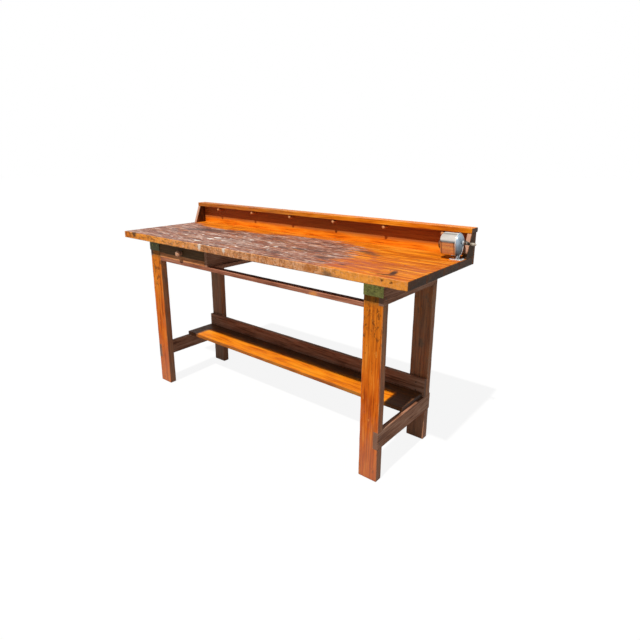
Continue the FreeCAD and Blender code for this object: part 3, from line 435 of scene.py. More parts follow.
def spill_paint(wood):
    """Dried paint: thin smears, then splashes up to 20 mm long and drops of a few millimetres. A splash is a
    cell of a Voronoi pattern, filled out to a size that the cell picks."""
    paint = wood.mask["paint"]
    wood.lay("#b9a297", wood.ragged(paint, top_streaks(wood, 0.01, 0.05, 0.7)), 1.1, 1.3, 0.6)
    bent = wood.bent(0.02, 0.018)
    for cell, least, largest, low, high in ((0.044, 0.2, 0.27, 0.25, 0.45), (0.024, 0.15, 0.27, 0.08, 0.3)):
        spot = wood.add("Mapping", at={"Vector": bent, "Scale": (0.4 / cell, 1 / cell, 1 / cell)})[0]
        cells = wood.add("TexVoronoi", at={"Vector": spot, "Scale": 1.0})
        pick = wood.add("SeparateColor", cells["Color"])[0]
        size = wood.add("MapRange", pick, least, 1.0, 0.0, largest, interpolation_type=SMOOTH)[0]
        inside = wood.add("Math", size, cells["Distance"], operation="SUBTRACT")[0]
        drop = wood.add("MapRange", inside, 0.0, 0.06, interpolation_type=SMOOTH)[0]
        near = wood.add("MapRange", paint, low, high, interpolation_type=SMOOTH)[0]
        splash = wood.add("Math", drop, near, operation="MULTIPLY")[0]
        wood.lay(tuple(colours().dried_paint), splash, ease=EVEN)


def mark_top(wood):
    """Single marks: a forked gouge near the right front corner, and in the front edge a knot, a bruise, two
    runs of paint, two smears and two nicks."""
    front, left, right = TOP_LOW[Y], TOP_LOW[X], TOP_HIGH[X]
    under, over = TOP_LOW[Z], TOP_HIGH[Z]
    for paint, centre, half, turn, most in (
            ("#2c1408", (right - 0.107, front + 0.085, over), (0.055, 0.018, 0.03), -1.28, 0.95),
            ("#3e1c0c", (right - 0.115, front + 0.045, over), (0.06, 0.014, 0.03), 0.25, 0.9),
            ("#6c3410", (left + 0.035, front, over - 0.016), (0.04, 0.03, 0.026), 0.0, 0.85),
            ("#e87c14", (left + 0.035, front, over - 0.016), (0.024, 0.03, 0.016), 0.0, 0.85),
            ("#3c2a1c", (left + 0.1, front, over - 0.006), (0.03, 0.02, 0.026), 0.0, 0.85),
            ("#e4d6c8", (-0.248, front, over - 0.01), (0.017, 0.02, 0.026), 0.0, 0.9),
            ("#e4d6c8", (-0.068, front, over - 0.004), (0.015, 0.02, 0.022), 0.0, 0.9),
            ("#5a4a38", (0.545, front, under + 0.01), (0.04, 0.02, 0.018), 0.0, 0.7),
            ("#b0641e", (0.455, front, under + 0.02), (0.05, 0.02, 0.022), 0.0, 0.6),
            ("#4a2a14", (right - 0.068, front, over - 0.014), (0.009, 0.009, 0.009), 0.0, 0.85),
            ("#4a2a14", (right - 0.105, front, over - 0.01), (0.01, 0.009, 0.008), 0.0, 0.85)):
        wood.mark(paint, centre, half, turn, most)


def drawer_face():
    """The drawer front: an olive-black coat over its upper part, partly old stain and partly the top's
    painted shadow, with tan wood in a band along its lower edge.
    """
    _, worn, end, dull, rough = WOODS["aged_brown_fir"]
    wood = Timber("stained_drawer_fir", X, ("#b4663c", "#de8a54", "#e89a64", "#f2ae7c"))
    low, high = corners("drawer_front")
    # old stain and the top's painted shadow, over all but a band along the lower edge
    rise = wood.add("MapRange", wood.height(), low[Z], high[Z], interpolation_type=SMOOTH)[0]
    border = wood.ragged(rise, wood.grains(X, 0.012, 0.05, 5.0, 0.65), 0.14)
    stain_and_shadow = wood.add("MapRange", border, 0.24, 0.3, 0.1, 0.94, interpolation_type=SMOOTH)[0]
    stain = wood.add("ValToRGB", wood.fibre, ramp=((0.35, "#42351f"), (0.65, "#6a5236")))[0]
    wood.lay(stain, stain_and_shadow, ease=EVEN)
    wood.wear(worn, end, dull, 0.6)
    return wood.varnished(rough)


def front_rail_wood():
    """The front rail: red-brown varnish with one paler patch."""
    _, _, end, dull, rough = WOODS["aged_brown_fir"]
    wood = Timber("reddish_brown_fir", X, ("#743f2c", "#9a5c44", "#aa6a50", "#bc826a"))
    low, high = corners("front_rail")
    wood.mark("#e0904c", (0.432, low[Y], (low[Z] + high[Z]) / 2), (0.03, 0.01, 0.014))
    wood.wear("#c08a6c", end, dull)
    return wood.varnished(rough)


def bracket_paint():
    """Old brushed oil paint on steel: a matt olive green, uneven from the brush, chipped to brown rust."""
    paint = Finish("old_olive_oil_paint", ("edge", "dull"), IOR=1.5, Specular_IOR_Level=0.25)
    green = tuple(colours().bracket)
    # brush hairs are finer; their marks are drawn 10 mm wide so that they show
    marks = paint.grains(X, 0.01, 0.02, 5.0, 0.7)
    paint.colour = paint.add("ValToRGB", marks, ramp=((0.38, darker(green, 0.45)), (0.62, green)))[0]
    chips = paint.ragged(paint.grains(X, 0.009, 0.012, 5.0, 0.65), paint.mask["edge"], 0.14)
    paint.lay("#5a4426", chips, 0.6, 0.66, 0.85)
    paint.lay("#4a4a34", paint.mask["dull"], ease=EVEN)
    gloss = paint.add("MapRange", marks, 0.3, 0.7, 0.5, 0.7, interpolation_type=SMOOTH)[0]
    return paint.done(gloss, marks, 0.2 * MM)


def metal(name, bright, dull, rough, grain, relief=0.0, painted_highlight=None, painted_shading=None, metallic=1.0):
    """Metal whose tone and gloss vary in smudges of one size, with a painted highlight where the edge mask
    says and painted shading where the dull mask says.
    """
    coats = {mask: coat for mask, coat in (("edge", painted_highlight), ("dull", painted_shading)) if coat}
    paint = Finish(name, tuple(coats), Metallic=metallic)
    smudge = paint.grains(X, grain, grain * 1.5, 3.0, 0.5)
    paint.colour = paint.add("ValToRGB", smudge, ramp=((0.3, dull), (0.7, bright)))[0]
    for mask, coat in coats.items():
        paint.lay(coat, paint.mask[mask], ease=EVEN)
    gloss = paint.add("MapRange", smudge, 0.3, 0.7, rough * 1.4, rough * 0.8, interpolation_type=SMOOTH)[0]
    return paint.done(gloss, smudge, relief)


def grip_plastic():
    """Old moulded urea plastic: yellowed white, faintly clouded, glossy, and darker at the end by the arm.
    """
    paint = Finish("yellowed_urea_plastic", ("dull",), IOR=1.5)
    cloud = paint.grains(X, 0.005, 0.008, 3.0)
    paint.colour = paint.add("ValToRGB", cloud, ramp=((0.35, "#8a8070"), (0.65, "#c4baa8")))[0]
    paint.lay("#3c322a", paint.mask["dull"], ease=EVEN)
    gloss = paint.add("MapRange", cloud, 0.3, 0.7, 0.2, 0.4, interpolation_type=SMOOTH)[0]
    return paint.done(gloss, cloud, 0.05 * MM)


def wander(along, seed, length):
    """A smooth seeded wobble: the mean of six sines with wavelengths near the given length, times a gain."""
    rng = np.random.default_rng(seed)
    sines, gain = 6, 1.6
    waves = tau / (length * rng.uniform(0.4, 2.0, sines))
    phases = rng.uniform(0, tau, sines)
    return np.sin(np.asarray(along)[..., None] * waves + phases).mean(-1) * gain


def build(name, grids, body, material, replaced=(), board=0.0, masks=None, flat=False):
    """Skins grids of points into one closed mesh. Each grid has rows along a path and columns round it;
    the columns close on themselves, and the end rows close with a flat face or, if looped, on each other.
    Rows named in a grid's creases keep a sharp edge."""
    verts, faces, smooth, crease, start = [], [], [], [], 0
    values = {"edge": [], "end": [], "dull": []}
    for grid in grids:
        points, looped = grid["points"], grid.get("looped", False)
        rows, columns = points.shape[:2]
        row = np.arange(rows if looped else rows - 1)[:, None]
        column = np.arange(columns)[None, :]
        after, beside = (row + 1) % rows, (column + 1) % columns
        quads = np.stack([row * columns + column, row * columns + beside, after * columns + beside,
                          after * columns + column], -1).reshape(-1, 4) + start
        faces += quads.tolist()
        smooth += [not flat] * len(quads)
        if not looped:
            faces.append((np.arange(columns)[::-1] + start).tolist())
            faces.append((np.arange(columns) + start + (rows - 1) * columns).tolist())
            smooth += [False, False]
        sharp = np.zeros((rows, columns), int)
        for index in grid.get("creases", ()):
            sharp[index] = start + index + 1
        crease.append(sharp.ravel())
        verts.append(points.reshape(-1, 3))
        for key in values:
            values[key].append(np.broadcast_to(grid.get(key, 0.0), (rows, columns)).ravel())
        start += rows * columns
    spots, crease = np.concatenate(verts), np.concatenate(crease)
    mesh = bpy.data.meshes.new(name)
    mesh.from_pydata(spots.tolist(), [], faces)
    mesh.polygons.foreach_set("use_smooth", smooth)
    ends = np.empty(2 * len(mesh.edges), int)
    mesh.edges.foreach_get("vertices", ends)
    # an edge is sharp where both its points lie on the same crease
    kept = crease[ends.reshape(-1, 2)]
    mesh.edges.foreach_set("use_edge_sharp", (kept[:, 0] > 0) & (kept[:, 0] == kept[:, 1]))
    values = {key: np.concatenate(value) for key, value in values.items()}
    values["board"] = np.full(len(spots), board)
    values.update({key: rule(spots) for key, rule in (masks or {}).items()})
    for key, value in values.items():
        mesh.attributes.new(key, "FLOAT", "POINT").data.foreach_set("value", value.astype(np.float32))
    mesh.update()
    piece = bpy.data.objects.new(name, mesh)
    bpy.context.scene.collection.objects.link(piece)
    mesh.materials.append(material)
    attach(piece, body)
    if replaced:
        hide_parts(*replaced)
    return piece


def plank(low, high, along, ease, seed, knots=None, radii=(1, 1, 1, 1), nick=0.5, end=None, pitch=0.02,
          splits=(0.03, 0.27, 0.5, 0.73, 0.97), dull=(0, 0, 0, 0), pale=(0, 0, 0, 0)):
    """A board with eased, slightly nicked edges: a rounded rectangle carried along the grain. Its corner
    radii wander along the board, and its ends are rounded by drawing the section in along a quarter circle.
    Knots are rows of (place along, low side, high side) where the width changes. Dull and pale are shares
    for the four faces, from the one on the high side of the first cross axis round towards the second; dull
    lays painted shade on faces turned from the light, and pale paints sunlight on a face."""
    low, high = np.asarray(low, float), np.asarray(high, float)
    side, other = (along + 1) % 3, (along + 2) % 3
    end = ease if end is None else end
    if knots is None:
        knots = [(low[along], low[side], high[side]), (high[along], low[side], high[side])]
    knots = np.array(knots, float)
    # rows along the board, at most a pitch apart; a step is two rows at one place
    spans = []
    for first, last in zip(knots[:-1], knots[1:]):
        count = max(2, int(np.ceil(abs(last[0] - first[0]) / pitch)) + 1)
        share = np.linspace(0, 1, count)[:, None]
        spans.append(first * (1 - share) + last * share)
    rows = np.concatenate([spans[0]] + [span[1:] for span in spans[1:]])
    steps = np.flatnonzero(np.diff(rows[:, 0]) == 0)
    # three more rows round each end
    rows[0, 0] += end
    rows[-1, 0] -= end
    turn = np.linspace(0, pi / 2, 4)[:-1]
    inset, shift = end * (1 - np.sin(turn)), end * np.cos(turn)
    first = np.stack([rows[0, 0] - shift, rows[0, 1] + inset, rows[0, 2] - inset], -1)
    last = np.stack([rows[-1, 0] + shift, rows[-1, 1] + inset, rows[-1, 2] - inset], -1)[::-1]
    rows = np.concatenate([first, rows, last])
    drawn = np.concatenate([inset, np.zeros(len(rows) - 2 * len(inset)), inset[::-1]])
    cut = np.concatenate([1 - turn / (pi / 2), np.zeros(len(rows) - 2 * len(turn)),
                          (1 - turn / (pi / 2))[::-1]])
    half_side, half_other = (rows[:, 2] - rows[:, 1]) / 2, (high[other] - low[other]) / 2 - drawn
    signs = np.array([(1, -1), (1, 1), (-1, 1), (-1, -1)], float)
    radius = np.stack([ease * radii[i] * (1 + nick * wander(rows[:, 0], seed * 7 + i, NICK_SPACING))
                       for i in range(4)], -1)
    radius = np.minimum(np.maximum(radius, 0.1 * ease), 0.9 * np.minimum(half_side, half_other)[:, None])
    # columns round the section: an arc at each corner, then the splits across the face up to the next corner
    arc = np.linspace(0, 1, 5)
    flat = np.array(splits)
    here = np.concatenate([np.full(len(arc) + len(flat), i) for i in range(4)])
    there = np.where(np.tile(np.arange(len(arc) + len(flat)) < len(arc), 4), here, (here + 1) % 4)
    part = np.tile(np.concatenate([np.zeros(len(arc)), flat]), 4)
    angle = np.concatenate([(i - 1 + np.concatenate([arc, np.ones(len(flat))])) * pi / 2 for i in range(4)])
    face = np.stack([np.cos(angle), np.sin(angle)], -1)
    points = np.empty((len(rows), len(angle), 3))
    points[..., along] = rows[:, :1]
    middle_side = (rows[:, 1] + rows[:, 2]) / 2
    middle_other = np.full(len(rows), (low[other] + high[other]) / 2)
    for axis, half, middle, n in ((side, half_side, middle_side, 0), (other, half_other, middle_other, 1)):
        near = signs[here, n] * (half[:, None] - radius[:, here]) + radius[:, here] * face[:, n]
        far = signs[there, n] * (half[:, None] - radius[:, there]) + radius[:, there] * face[:, n]
        points[..., axis] = middle[:, None] + near * (1 - part) + far * part
    dull, pale = np.array(dull, float), np.array(pale, float)
    bare = part == 0
    # the dull shares are painted shade, met half and half at the corners; the pale shares paint sunlight on
    # a face
    grimy = np.where(bare, (dull[here] + dull[here - 1]) / 2, dull[here])
    rubbed = np.where(bare, 1.0, pale[here])
    creases = sorted({int(step) + len(inset) + extra for step in steps for extra in (0, 1)})
    return {"points": points, "edge": rubbed[None, :], "end": cut[:, None], "dull": grimy[None, :],
            "creases": creases}


def carried(centres, radii, normals, path, axis, at):
    """An outline of arcs carried along an axis: a point is its arc's centre plus the radius, less the row's
    inset, along the outline's normal. Each row of the path is (place along the axis, inset)."""
    path = np.asarray(path, float)
    points = np.empty((len(path), len(normals), 3))
    ring = centres[None] + (radii[None, :, None] - path[:, 1, None, None]) * normals[None]
    points[..., axis] = path[:, :1]
    points[..., (axis + 1) % 3] = at[(axis + 1) % 3] + ring[..., 0]
    points[..., (axis + 2) % 3] = at[(axis + 2) % 3] + ring[..., 1]
    return {"points": points}


def turned(profile, axis, at, sides=40):
    """A turned piece: a circle carried along an axis, with rows of (place along the axis, radius)."""
    profile = np.asarray(profile, float)
    angle = np.arange(sides) * tau / sides
    normals = np.stack([np.cos(angle), np.sin(angle)], -1)
    path = np.stack([profile[:, 0], -profile[:, 1]], -1)
    return carried(np.zeros((sides, 2)), np.zeros(sides), normals, path, axis, at)


def slotted(spot, axis, way, radius, tall, seed):
    """A screw head: rings of a low dome, sunk along a band through its middle for the slot."""
    sides, slot_half, slot_deep = 48, 0.15, 0.7
    # two rings make the upright rim, and the others the dome
    dome = np.linspace(0.98, 0.02, 14)
    share = np.concatenate([[1.0, 1.0], dome])
    rise = np.concatenate([[-0.3, 0.0], np.sqrt(1 - dome ** 2)]) * tall
    angle = np.arange(sides) * tau / sides
    turn = np.random.default_rng(seed).uniform(0, pi)
    across = share[:, None] * np.sin(angle - turn)[None]
    sunk = np.where(np.abs(across) < slot_half, slot_deep * tall, 0.0)
    height = np.where(share[:, None] < 0.99, np.maximum(rise[:, None] - sunk, 0.0), rise[:, None])
    points = np.empty((len(share), len(angle), 3))
    points[..., axis] = spot[axis] + way * height
    points[..., (axis + 1) % 3] = spot[(axis + 1) % 3] + radius * share[:, None] * np.cos(angle)
    points[..., (axis + 2) % 3] = spot[(axis + 2) % 3] + radius * share[:, None] * np.sin(angle)
    return {"points": points if way > 0 else points[:, ::-1]}


def drawn_in(node):
    """A node's corners, drawn in so that nail heads stand a little proud of the wood."""
    low, high = corners(node)
    return low + sizes().proud, high - sizes().proud


def dress(nodes, material):
    """Gives CAD nodes a material through their slots."""
    for name in nodes:
        slots = frame["nodes"][name].data.materials
        slots.clear()
        slots.append(material)


def blobs(spots, places):
    """A sum of bell-shaped bumps on the top, twice as long as they are wide. Each place is a row of (x, y,
    half width, height)."""
    places = np.array(places)
    gap = np.hypot((spots[:, None, X] - places[:, 0]) / 2, spots[:, None, Y] - places[:, 1])
    return (places[:, 3] * np.exp(-(gap / places[:, 2]) ** 2)).sum(1)


def on_front(spots):
    """True on the top's front edge, the face that looks towards the worker."""
    return spots[:, Y] < TOP_LOW[Y] + 2 * MM


def past_border(spots):
    """How far a spot lies behind the worn field's border, which runs near the back and turns forward at the
    right, in metres."""
    border = np.interp(spots[:, X], (-0.93, -0.67, -0.45, -0.26, -0.1, 0.1, 0.3, 0.42, 0.54, 0.62),
                       (0.185, 0.1, 0.1, 0.12, 0.18, 0.2, 0.18, 0.14, 0.06, -0.1))
    return spots[:, Y] - border


def stain_field(spots):
    """How worn the top is: 1 inside the border, fading towards the right."""
    fade = 1 / (1 + np.exp((spots[:, X] - 0.47) / 0.09))
    soft = np.interp(spots[:, X], (-0.4, 0.5), (0.025, 0.06))
    return np.where(on_front(spots), 0.0, fade / (1 + np.exp(past_border(spots) / soft)))


def rust_field(spots):
    """Reddish wear along the border of the stains, and most towards the right front."""
    right = np.exp(-((spots[:, X] - 0.55) / 0.24) ** 2 - ((spots[:, Y] + 0.18) / 0.16) ** 2)
    along = np.exp(-(past_border(spots) / 0.07) ** 2)
    return np.where(on_front(spots), 0.0, np.maximum(0.55 * right, 0.42 * along))


def dark_field(spots):
    """Dark patches where work was glued and oiled, and the sharpener's shadow painted behind it."""
    return np.where(on_front(spots), 0.0, blobs(spots, [
        (-0.7, -0.01, 0.05, 0.7), (-0.58, 0.04, 0.05, 0.75), (-0.46, 0.085, 0.045, 0.75),
        (-0.39, 0.14, 0.03, 0.5), (-0.12, 0.05, 0.06, 0.6), (0.21, -0.075, 0.035, 0.6),
        (0.3, -0.02, 0.04, 0.4), (0.41, -0.176, 0.04, 0.4), (0.44, -0.1, 0.045, 0.42),
        (0.51, -0.075, 0.03, 0.35), (0.556, -0.21, 0.02, 0.8), (0.485, 0.057, 0.035, 0.7),
        (0.59, 0.03, 0.045, 0.5), (0.86, 0.2, 0.03, 0.8), (0.72, -0.258, 0.014, 0.6),
        # the patch at x 0.86, y 0.2 is the sharpener's painted shadow
        (0.82, -0.27, 0.012, 0.6), (-0.8, -0.17, 0.06, 0.5), (-0.2, -0.22, 0.05, 0.5),
        (0.08, -0.2, 0.05, 0.5)]))


def paint_field(spots):
    """Where paint dripped: a long cloud over the left half, and runs down the front edge."""
    cloud = np.exp(-((spots[:, X] + 0.2) / 0.42) ** 2 - ((spots[:, Y] + 0.14) / 0.14) ** 2)
    runs = blobs(spots * (1, 0, 0), [(-0.245, 0.0, 0.016, 0.5), (-0.07, 0.0, 0.014, 0.5),
                                     (-0.36, 0.0, 0.01, 0.3)])
    return np.where(on_front(spots), runs, 0.75 * cloud)


def pale_field(spots):
    """The front edge, rubbed pale along its middle."""
    share = np.interp(spots[:, X], (-0.93, -0.78, -0.55, 0.0, 0.45, 0.62, 0.9),
                      (0.25, 0.3, 0.42, 0.9, 0.75, 0.4, 0.36))
    return np.where(on_front(spots), share, 0.0)


def grimy_field(spots):
    """Dirt in the front edge."""
    share = np.interp(spots[:, X], (-0.93, -0.6, 0.0, 0.5, 0.7, 0.9), (0.4, 0.55, 0.5, 0.4, 0.3, 0.25))
    return np.where(on_front(spots), share, 0.0)


# the values that the top's points carry for its finish
TOP_MASKS = {"stain": stain_field, "rust": rust_field, "dark": dark_field, "paint": paint_field,
             "pale": pale_field, "grimy": grimy_field}


class BENCH_OT_top(bpy.types.Operator):
    """Build the worn boards of the top"""
    bl_idname = "bench.top"
    bl_label = "Top Boards"

    def execute(self, context):
        material = worn_top()
        # the boards are glued, so only the outer long edges are worn
        worn, glued = 1.0, 0.12
        for index, name in enumerate(TOP_BOARDS):
            low, high = drawn_in(name)
            front = worn if index == 0 else glued
            back = worn if index == len(TOP_BOARDS) - 1 else glued
            # painted shade on the back face and the underside
            grid = plank(low, high, X, sizes().top_ease, seed=index + 1, radii=(back, back, front, front),
                         dull=(0.6, 0, 0, 1), splits=(0.02, 0.14, 0.26, 0.38, 0.5, 0.62, 0.74, 0.86, 0.98))
            build(name + "_worn", [grid], "bench", material, [name], board=index + 1.0,
                  masks=TOP_MASKS)
        return {"FINISHED"}


class BENCH_OT_legs(bpy.types.Operator):
    """Build the notched plank legs"""
    bl_idname = "bench.legs"
    bl_label = "Legs"

    def execute(self, context):
        material = leg_wood()
        for index, name in enumerate(LEGS):
            low, high = drawn_in(name)
            side = "left" if "left" in name else "right"
            knots = [(low[Z], low[X], high[X])]
            for notch in (f"stretcher_{side}", f"end_apron_{side}"):
                under, over = corners(notch)
                inner = (over[X], high[X]) if side == "left" else (low[X], under[X])
                knots += [(under[Z], low[X], high[X]), (under[Z], *inner)]
                if over[Z] < high[Z]:
                    knots += [(over[Z], *inner), (over[Z], low[X], high[X])]
            knots.append((high[Z], *knots[-1][1:]))
            # painted shade on each leg's sides and back, and on the rear legs' fronts
            grid = plank(low, high, Z, sizes().ease * 1.4, seed=index + 11, knots=knots,
                         end=sizes().foot_ease, dull=(0.7, 0.7, 0.7, LEG_SHADE.get(name, 0.0)))
            build(name + "_worn", [grid], "bench", material, [name], board=index + 5.0)
        return {"FINISHED"}


class BENCH_OT_end_boards(bpy.types.Operator):
    """Build the aprons and stretchers at both ends"""
    bl_idname = "bench.end_boards"
    bl_label = "End Boards"

    def execute(self, context):
        names = ("end_apron_left", "end_apron_right", "stretcher_left", "stretcher_right")
        for index, name in enumerate(names):
            low, high = drawn_in(name)
            grid = plank(low, high, Y, sizes().ease, seed=index + 21)
            build(name + "_worn", [grid], "bench", timber("aged_brown_fir", Y), [name],
                  board=index + 9.0)
        return {"FINISHED"}


class BENCH_OT_shelf(bpy.types.Operator):
    """Build the low shelf and the long rails"""
    bl_idname = "bench.shelf"
    bl_label = "Shelf and Rails"

    def execute(self, context):
        looks = {"shelf_board": (shelf_wood(), "shelf_wood"),
                 "back_rail": (timber("aged_brown_fir", X), "rail_wood"),
                 "front_rail": (front_rail_wood(), "rail_wood")}
        for index, (name, (material, slot)) in enumerate(looks.items()):
            low, high = drawn_in(name)
            front = 0.6 if name == "shelf_board" else 0.25
            # painted shade on the back, front and underside, more on the shelf than on the rails
            grid = plank(low, high, X, sizes().ease, seed=index + 31, dull=(0.3, 0, front, 0.6))
            if name == "shelf_board":
                # painted shadows: the front legs' on both ends of the shelf, and the top's from its middle
                # back to the rail
                end_from, end_soft, back_from, back_soft = 0.668, 0.01, 0.56, 0.08
                ends = np.clip((np.abs(grid["points"][..., X]) - end_from) / end_soft, 0, 1)
                depth = (grid["points"][..., Y] - low[Y]) / (high[Y] - low[Y])
                back = np.clip((depth - back_from) / back_soft, 0, 1)
                grid["dull"] = np.maximum(grid["dull"], np.maximum(ends, back))
            build(name + "_worn", [grid], "bench", material, [name], board=index + 13.0)
        return {"FINISHED"}


class BENCH_OT_gallery(bpy.types.Operator):
    """Build the backboard, the sloped ends and the cap"""
    bl_idname = "bench.gallery"
    bl_label = "Gallery"

    def execute(self, context):
        low, high = drawn_in("gallery_backboard")
        # painted shade on the back face and the underside
        grid = plank(low, high, X, sizes().ease * 0.7, seed=41, dull=(1, 0, 0, 1))
        build("gallery_backboard_worn", [grid], "bench", backboard_wood(), ["gallery_backboard"],
              board=16.0)
        cap_low, cap_high = drawn_in("gallery_cap")
        ends = gallery_end_wood()
        for index, name in enumerate(("gallery_end_left", "gallery_end_right")):
            low, high = drawn_in(name)
            # the face towards the worker slopes: its edge moves back with height as far as the cap's
            # painted shade on the faces turned from the light, and painted sunlight on the front edge
            dull = (0.8, 0.5, 1, 0) if "left" in name else (1, 0.5, 0.2, 0)
            grid = plank(low, high, Z, sizes().ease, seed=index + 43, dull=dull, pale=(0, 0, 0, 2.2))
            rise = (grid["points"][..., Z] - low[Z]) / (high[Z] - low[Z])
            front = low[Y] + (cap_low[Y] - low[Y]) * rise
            share = (grid["points"][..., Y] - low[Y]) / (high[Y] - low[Y])
            grid["points"][..., Y] = front + share * (high[Y] - front)
            if "right" in name:
                # the sharpener's shadow, painted low on that edge: the painted sunlight taken off and
                # painted shade laid instead
                shadowed_to, soft = 0.1, 0.3
                sunlit = np.clip((rise - shadowed_to) / soft, 0, 1)
                grid["edge"] = grid["edge"] * sunlit
                grid["dull"] = np.maximum(grid["dull"], 1 - sunlit)
            build(name + "_worn", [grid], "bench", ends, [name], board=index + 17.0)
        back = sizes().cap_round / sizes().ease
        # painted shade on the back face and the underside
        grid = plank(cap_low, cap_high, X, sizes().ease, seed=47, radii=(back, back, 1, 1), nick=0.15,
                     dull=(1, 0, 0, 1))
        # the cap is darker towards its left end
        dull_to, most = 0.3, 0.55
        left = np.clip(dull_to - grid["points"][..., X], 0, most)
        grid["dull"] = np.maximum(grid["dull"], left)
        build("gallery_cap_worn", [grid], "bench", timber("varnished_pine", X), ["gallery_cap"],
              board=19.0)
        return {"FINISHED"}


class BENCH_OT_pegs(bpy.types.Operator):
    """Turn the pegs under the cap"""
    bl_idname = "bench.pegs"
    bl_label = "Pegs"

    def execute(self, context):
        low, high = corners("gallery_pegs")
        radius = (high[Z] - low[Z]) / 2
        tip, root = low[Y], high[Y]
        profile = [(tip, 0.45 * radius), (tip + 0.4 * MM, 0.62 * radius), (tip + 1.5 * MM, 0.82 * radius),
                   (tip + 3.2 * MM, 0.96 * radius), (tip + 5 * MM, radius), (root - 0.3 * MM, radius)]
        grids = [turned(profile, Y, (along, 0, low[Z] + radius), sides=28)
                 for along in np.linspace(low[X] + radius, high[X] - radius, PEGS)]
        build("gallery_pegs_turned", grids, "bench", timber("handled_turned_beech", Y), ["gallery_pegs"],
              board=20.0)
        return {"FINISHED"}


class BENCH_OT_brackets(bpy.types.Operator):
    """Bend the painted angle plates under the front overhang and set their painted screws"""
    bl_idname = "bench.brackets"
    bl_label = "Angle Plates"

    def execute(self, context):
        material = bracket_paint()
        thick, outer, chipped = 3 * MM, 5 * MM, 1 * MM
        heads = []
        for side in ("left", "right"):
            name = f"leg_bracket_{side}"
            low, high = corners(name)
            bend = np.linspace(0, pi / 2, 6)
            around = np.stack([np.cos(bend), np.sin(bend)], -1)
            # the section in Y and Z: up the leg, round the bend, out under the top, and back on the inside
            corner = np.array([high[Y] - outer, high[Z] - outer])
            section = np.concatenate([[[high[Y], low[Z]]], corner + outer * around, [[low[Y], high[Z]]],
                                      [[low[Y], high[Z] - thick]], (corner + (outer - thick) * around)[::-1],
                                      [[high[Y] - thick, low[Z]]]])
            ends = np.array([low[X], low[X] + chipped, high[X] - chipped, high[X]])
            points = np.empty((len(ends), len(section), 3))
            points[..., X] = ends[:, None]
            points[..., Y:] = section[None]
            grid = {"points": points, "edge": np.array([1.0, 0.0, 0.0, 1.0])[:, None],
                    "dull": 0.85 if side == "left" else 0.0}
            build(name + "_painted", [grid], "bench", material, [name], flat=True)
            for share in PAIR_SHARES:
                spot = (low[X] + share * (high[X] - low[X]), high[Y] - thick, (low[Z] + high[Z]) / 2)
                heads.append(slotted(spot, Y, -1, radius=4.4 * MM, tall=1.2 * MM, seed=len(heads)))
        build("bracket_screw_heads", heads, "bench", material, board=2.0)
        return {"FINISHED"}


class BENCH_OT_drawer(bpy.types.Operator):
    """Build the drawer's front and turned pull, and finish its box"""
    bl_idname = "bench.drawer"
    bl_label = "Drawer"

    def execute(self, context):
        low, high = drawn_in("drawer_front")
        grid = plank(low, high, X, sizes().ease, seed=51)
        build("drawer_front_worn", [grid], "drawer", drawer_face(), ["drawer_front"],
              board=21.0)
        low, high = corners("drawer_pull")
        radius = (high[X] - low[X]) / 2
        reach = high[Y] - low[Y]
        # a flat-faced bulb on a waisted neck, from its face back to its foot: shares of its reach and radius
        shares = [(0.0, 0.28), (0.012, 0.5), (0.045, 0.7), (0.11, 0.86), (0.2, 0.96), (0.32, 1.0),
                  (0.44, 0.96), (0.54, 0.84), (0.61, 0.66), (0.67, 0.52), (0.74, 0.45), (0.83, 0.46),
                  (0.92, 0.54), (0.99, 0.66)]
        profile = [(low[Y] + along * reach, share * radius) for along, share in shares]
        pull = turned(profile, Y, (low + high) / 2, sides=48)
        build("drawer_pull_turned", [pull], "drawer", timber("handled_stained_beech", Y), ["drawer_pull"],
              board=22.0)
        dress(("drawer_side_left", "drawer_side_right"), timber("bare_pine", Y))
        dress(("drawer_back", "drawer_bottom"), timber("bare_pine", X))
        return {"FINISHED"}


class BENCH_OT_drawer_case(bpy.types.Operator):
    """Finish the case and runners that the drawer slides in"""
    bl_idname = "bench.drawer_case"
    bl_label = "Drawer Case"

    def execute(self, context):
        dress(("drawer_case_left", "drawer_case_right", "drawer_runner_left", "drawer_runner_right"),
              timber("aged_brown_fir", Y))
        dress(("drawer_case_back",), timber("aged_brown_fir", X))
        return {"FINISHED"}


def joint_place(name):
    """A joint's point in the part's frame."""
    return np.array(next(joint for joint in frame["joints"] if joint["name"] == name)["pos_m"], float)


def drum_rings(path):
    """The drum's outline carried along X: a big arc over the top and two small low corners, joined by
    straight sides and a flat bottom. Each row of the path is (x, inset); every arc's radius shrinks by the
    inset, and the low corners' centres follow so that the sides stay tangent."""
    axis, (low, high) = joint_place("crank_turn"), corners("shavings_drum")
    path = np.asarray(path, float)
    along, inset = path[:, :1], path[:, 1:]
    full, deep, half = high[Z] - axis[Z], axis[Z] - low[Z], sizes().drum_low
    lean = np.arctan2(-deep, half) + np.arccos(full / np.hypot(half, deep))
    arch, corner = 44, 14
    angle = np.concatenate([np.linspace(lean, pi - lean, arch), np.linspace(pi - lean, 1.5 * pi, corner),
                            np.linspace(1.5 * pi, tau + lean, corner)])
    where = np.repeat([0, -1, 1], [arch, corner, corner])
    big, drop = full - inset, deep - inset
    least = 0.4 * MM
    small = np.maximum(sizes().drum_corner - inset, least)
    out = (big - small - np.sin(lean) * (small - drop)) / np.cos(lean)
    radius = np.where(where == 0, big, small)
    points = np.empty((len(path), len(angle), 3))
    points[..., X] = along
    points[..., Y] = axis[Y] + where * out + radius * np.cos(angle)
    points[..., Z] = axis[Z] + np.where(where == 0, 0.0, small - drop) + radius * np.sin(angle)
    return points


def eased(low, high, soft):
    """Rows of (place, inset) along a plate whose two edges are rounded by a quarter circle."""
    turn = np.linspace(0, pi / 2, 4)
    ease = np.stack([soft * (1 - np.cos(turn)), soft * (1 - np.sin(turn))], -1)
    return np.concatenate([ease + (low, 0), (ease * (-1, 1) + (high, 0))[::-1]])


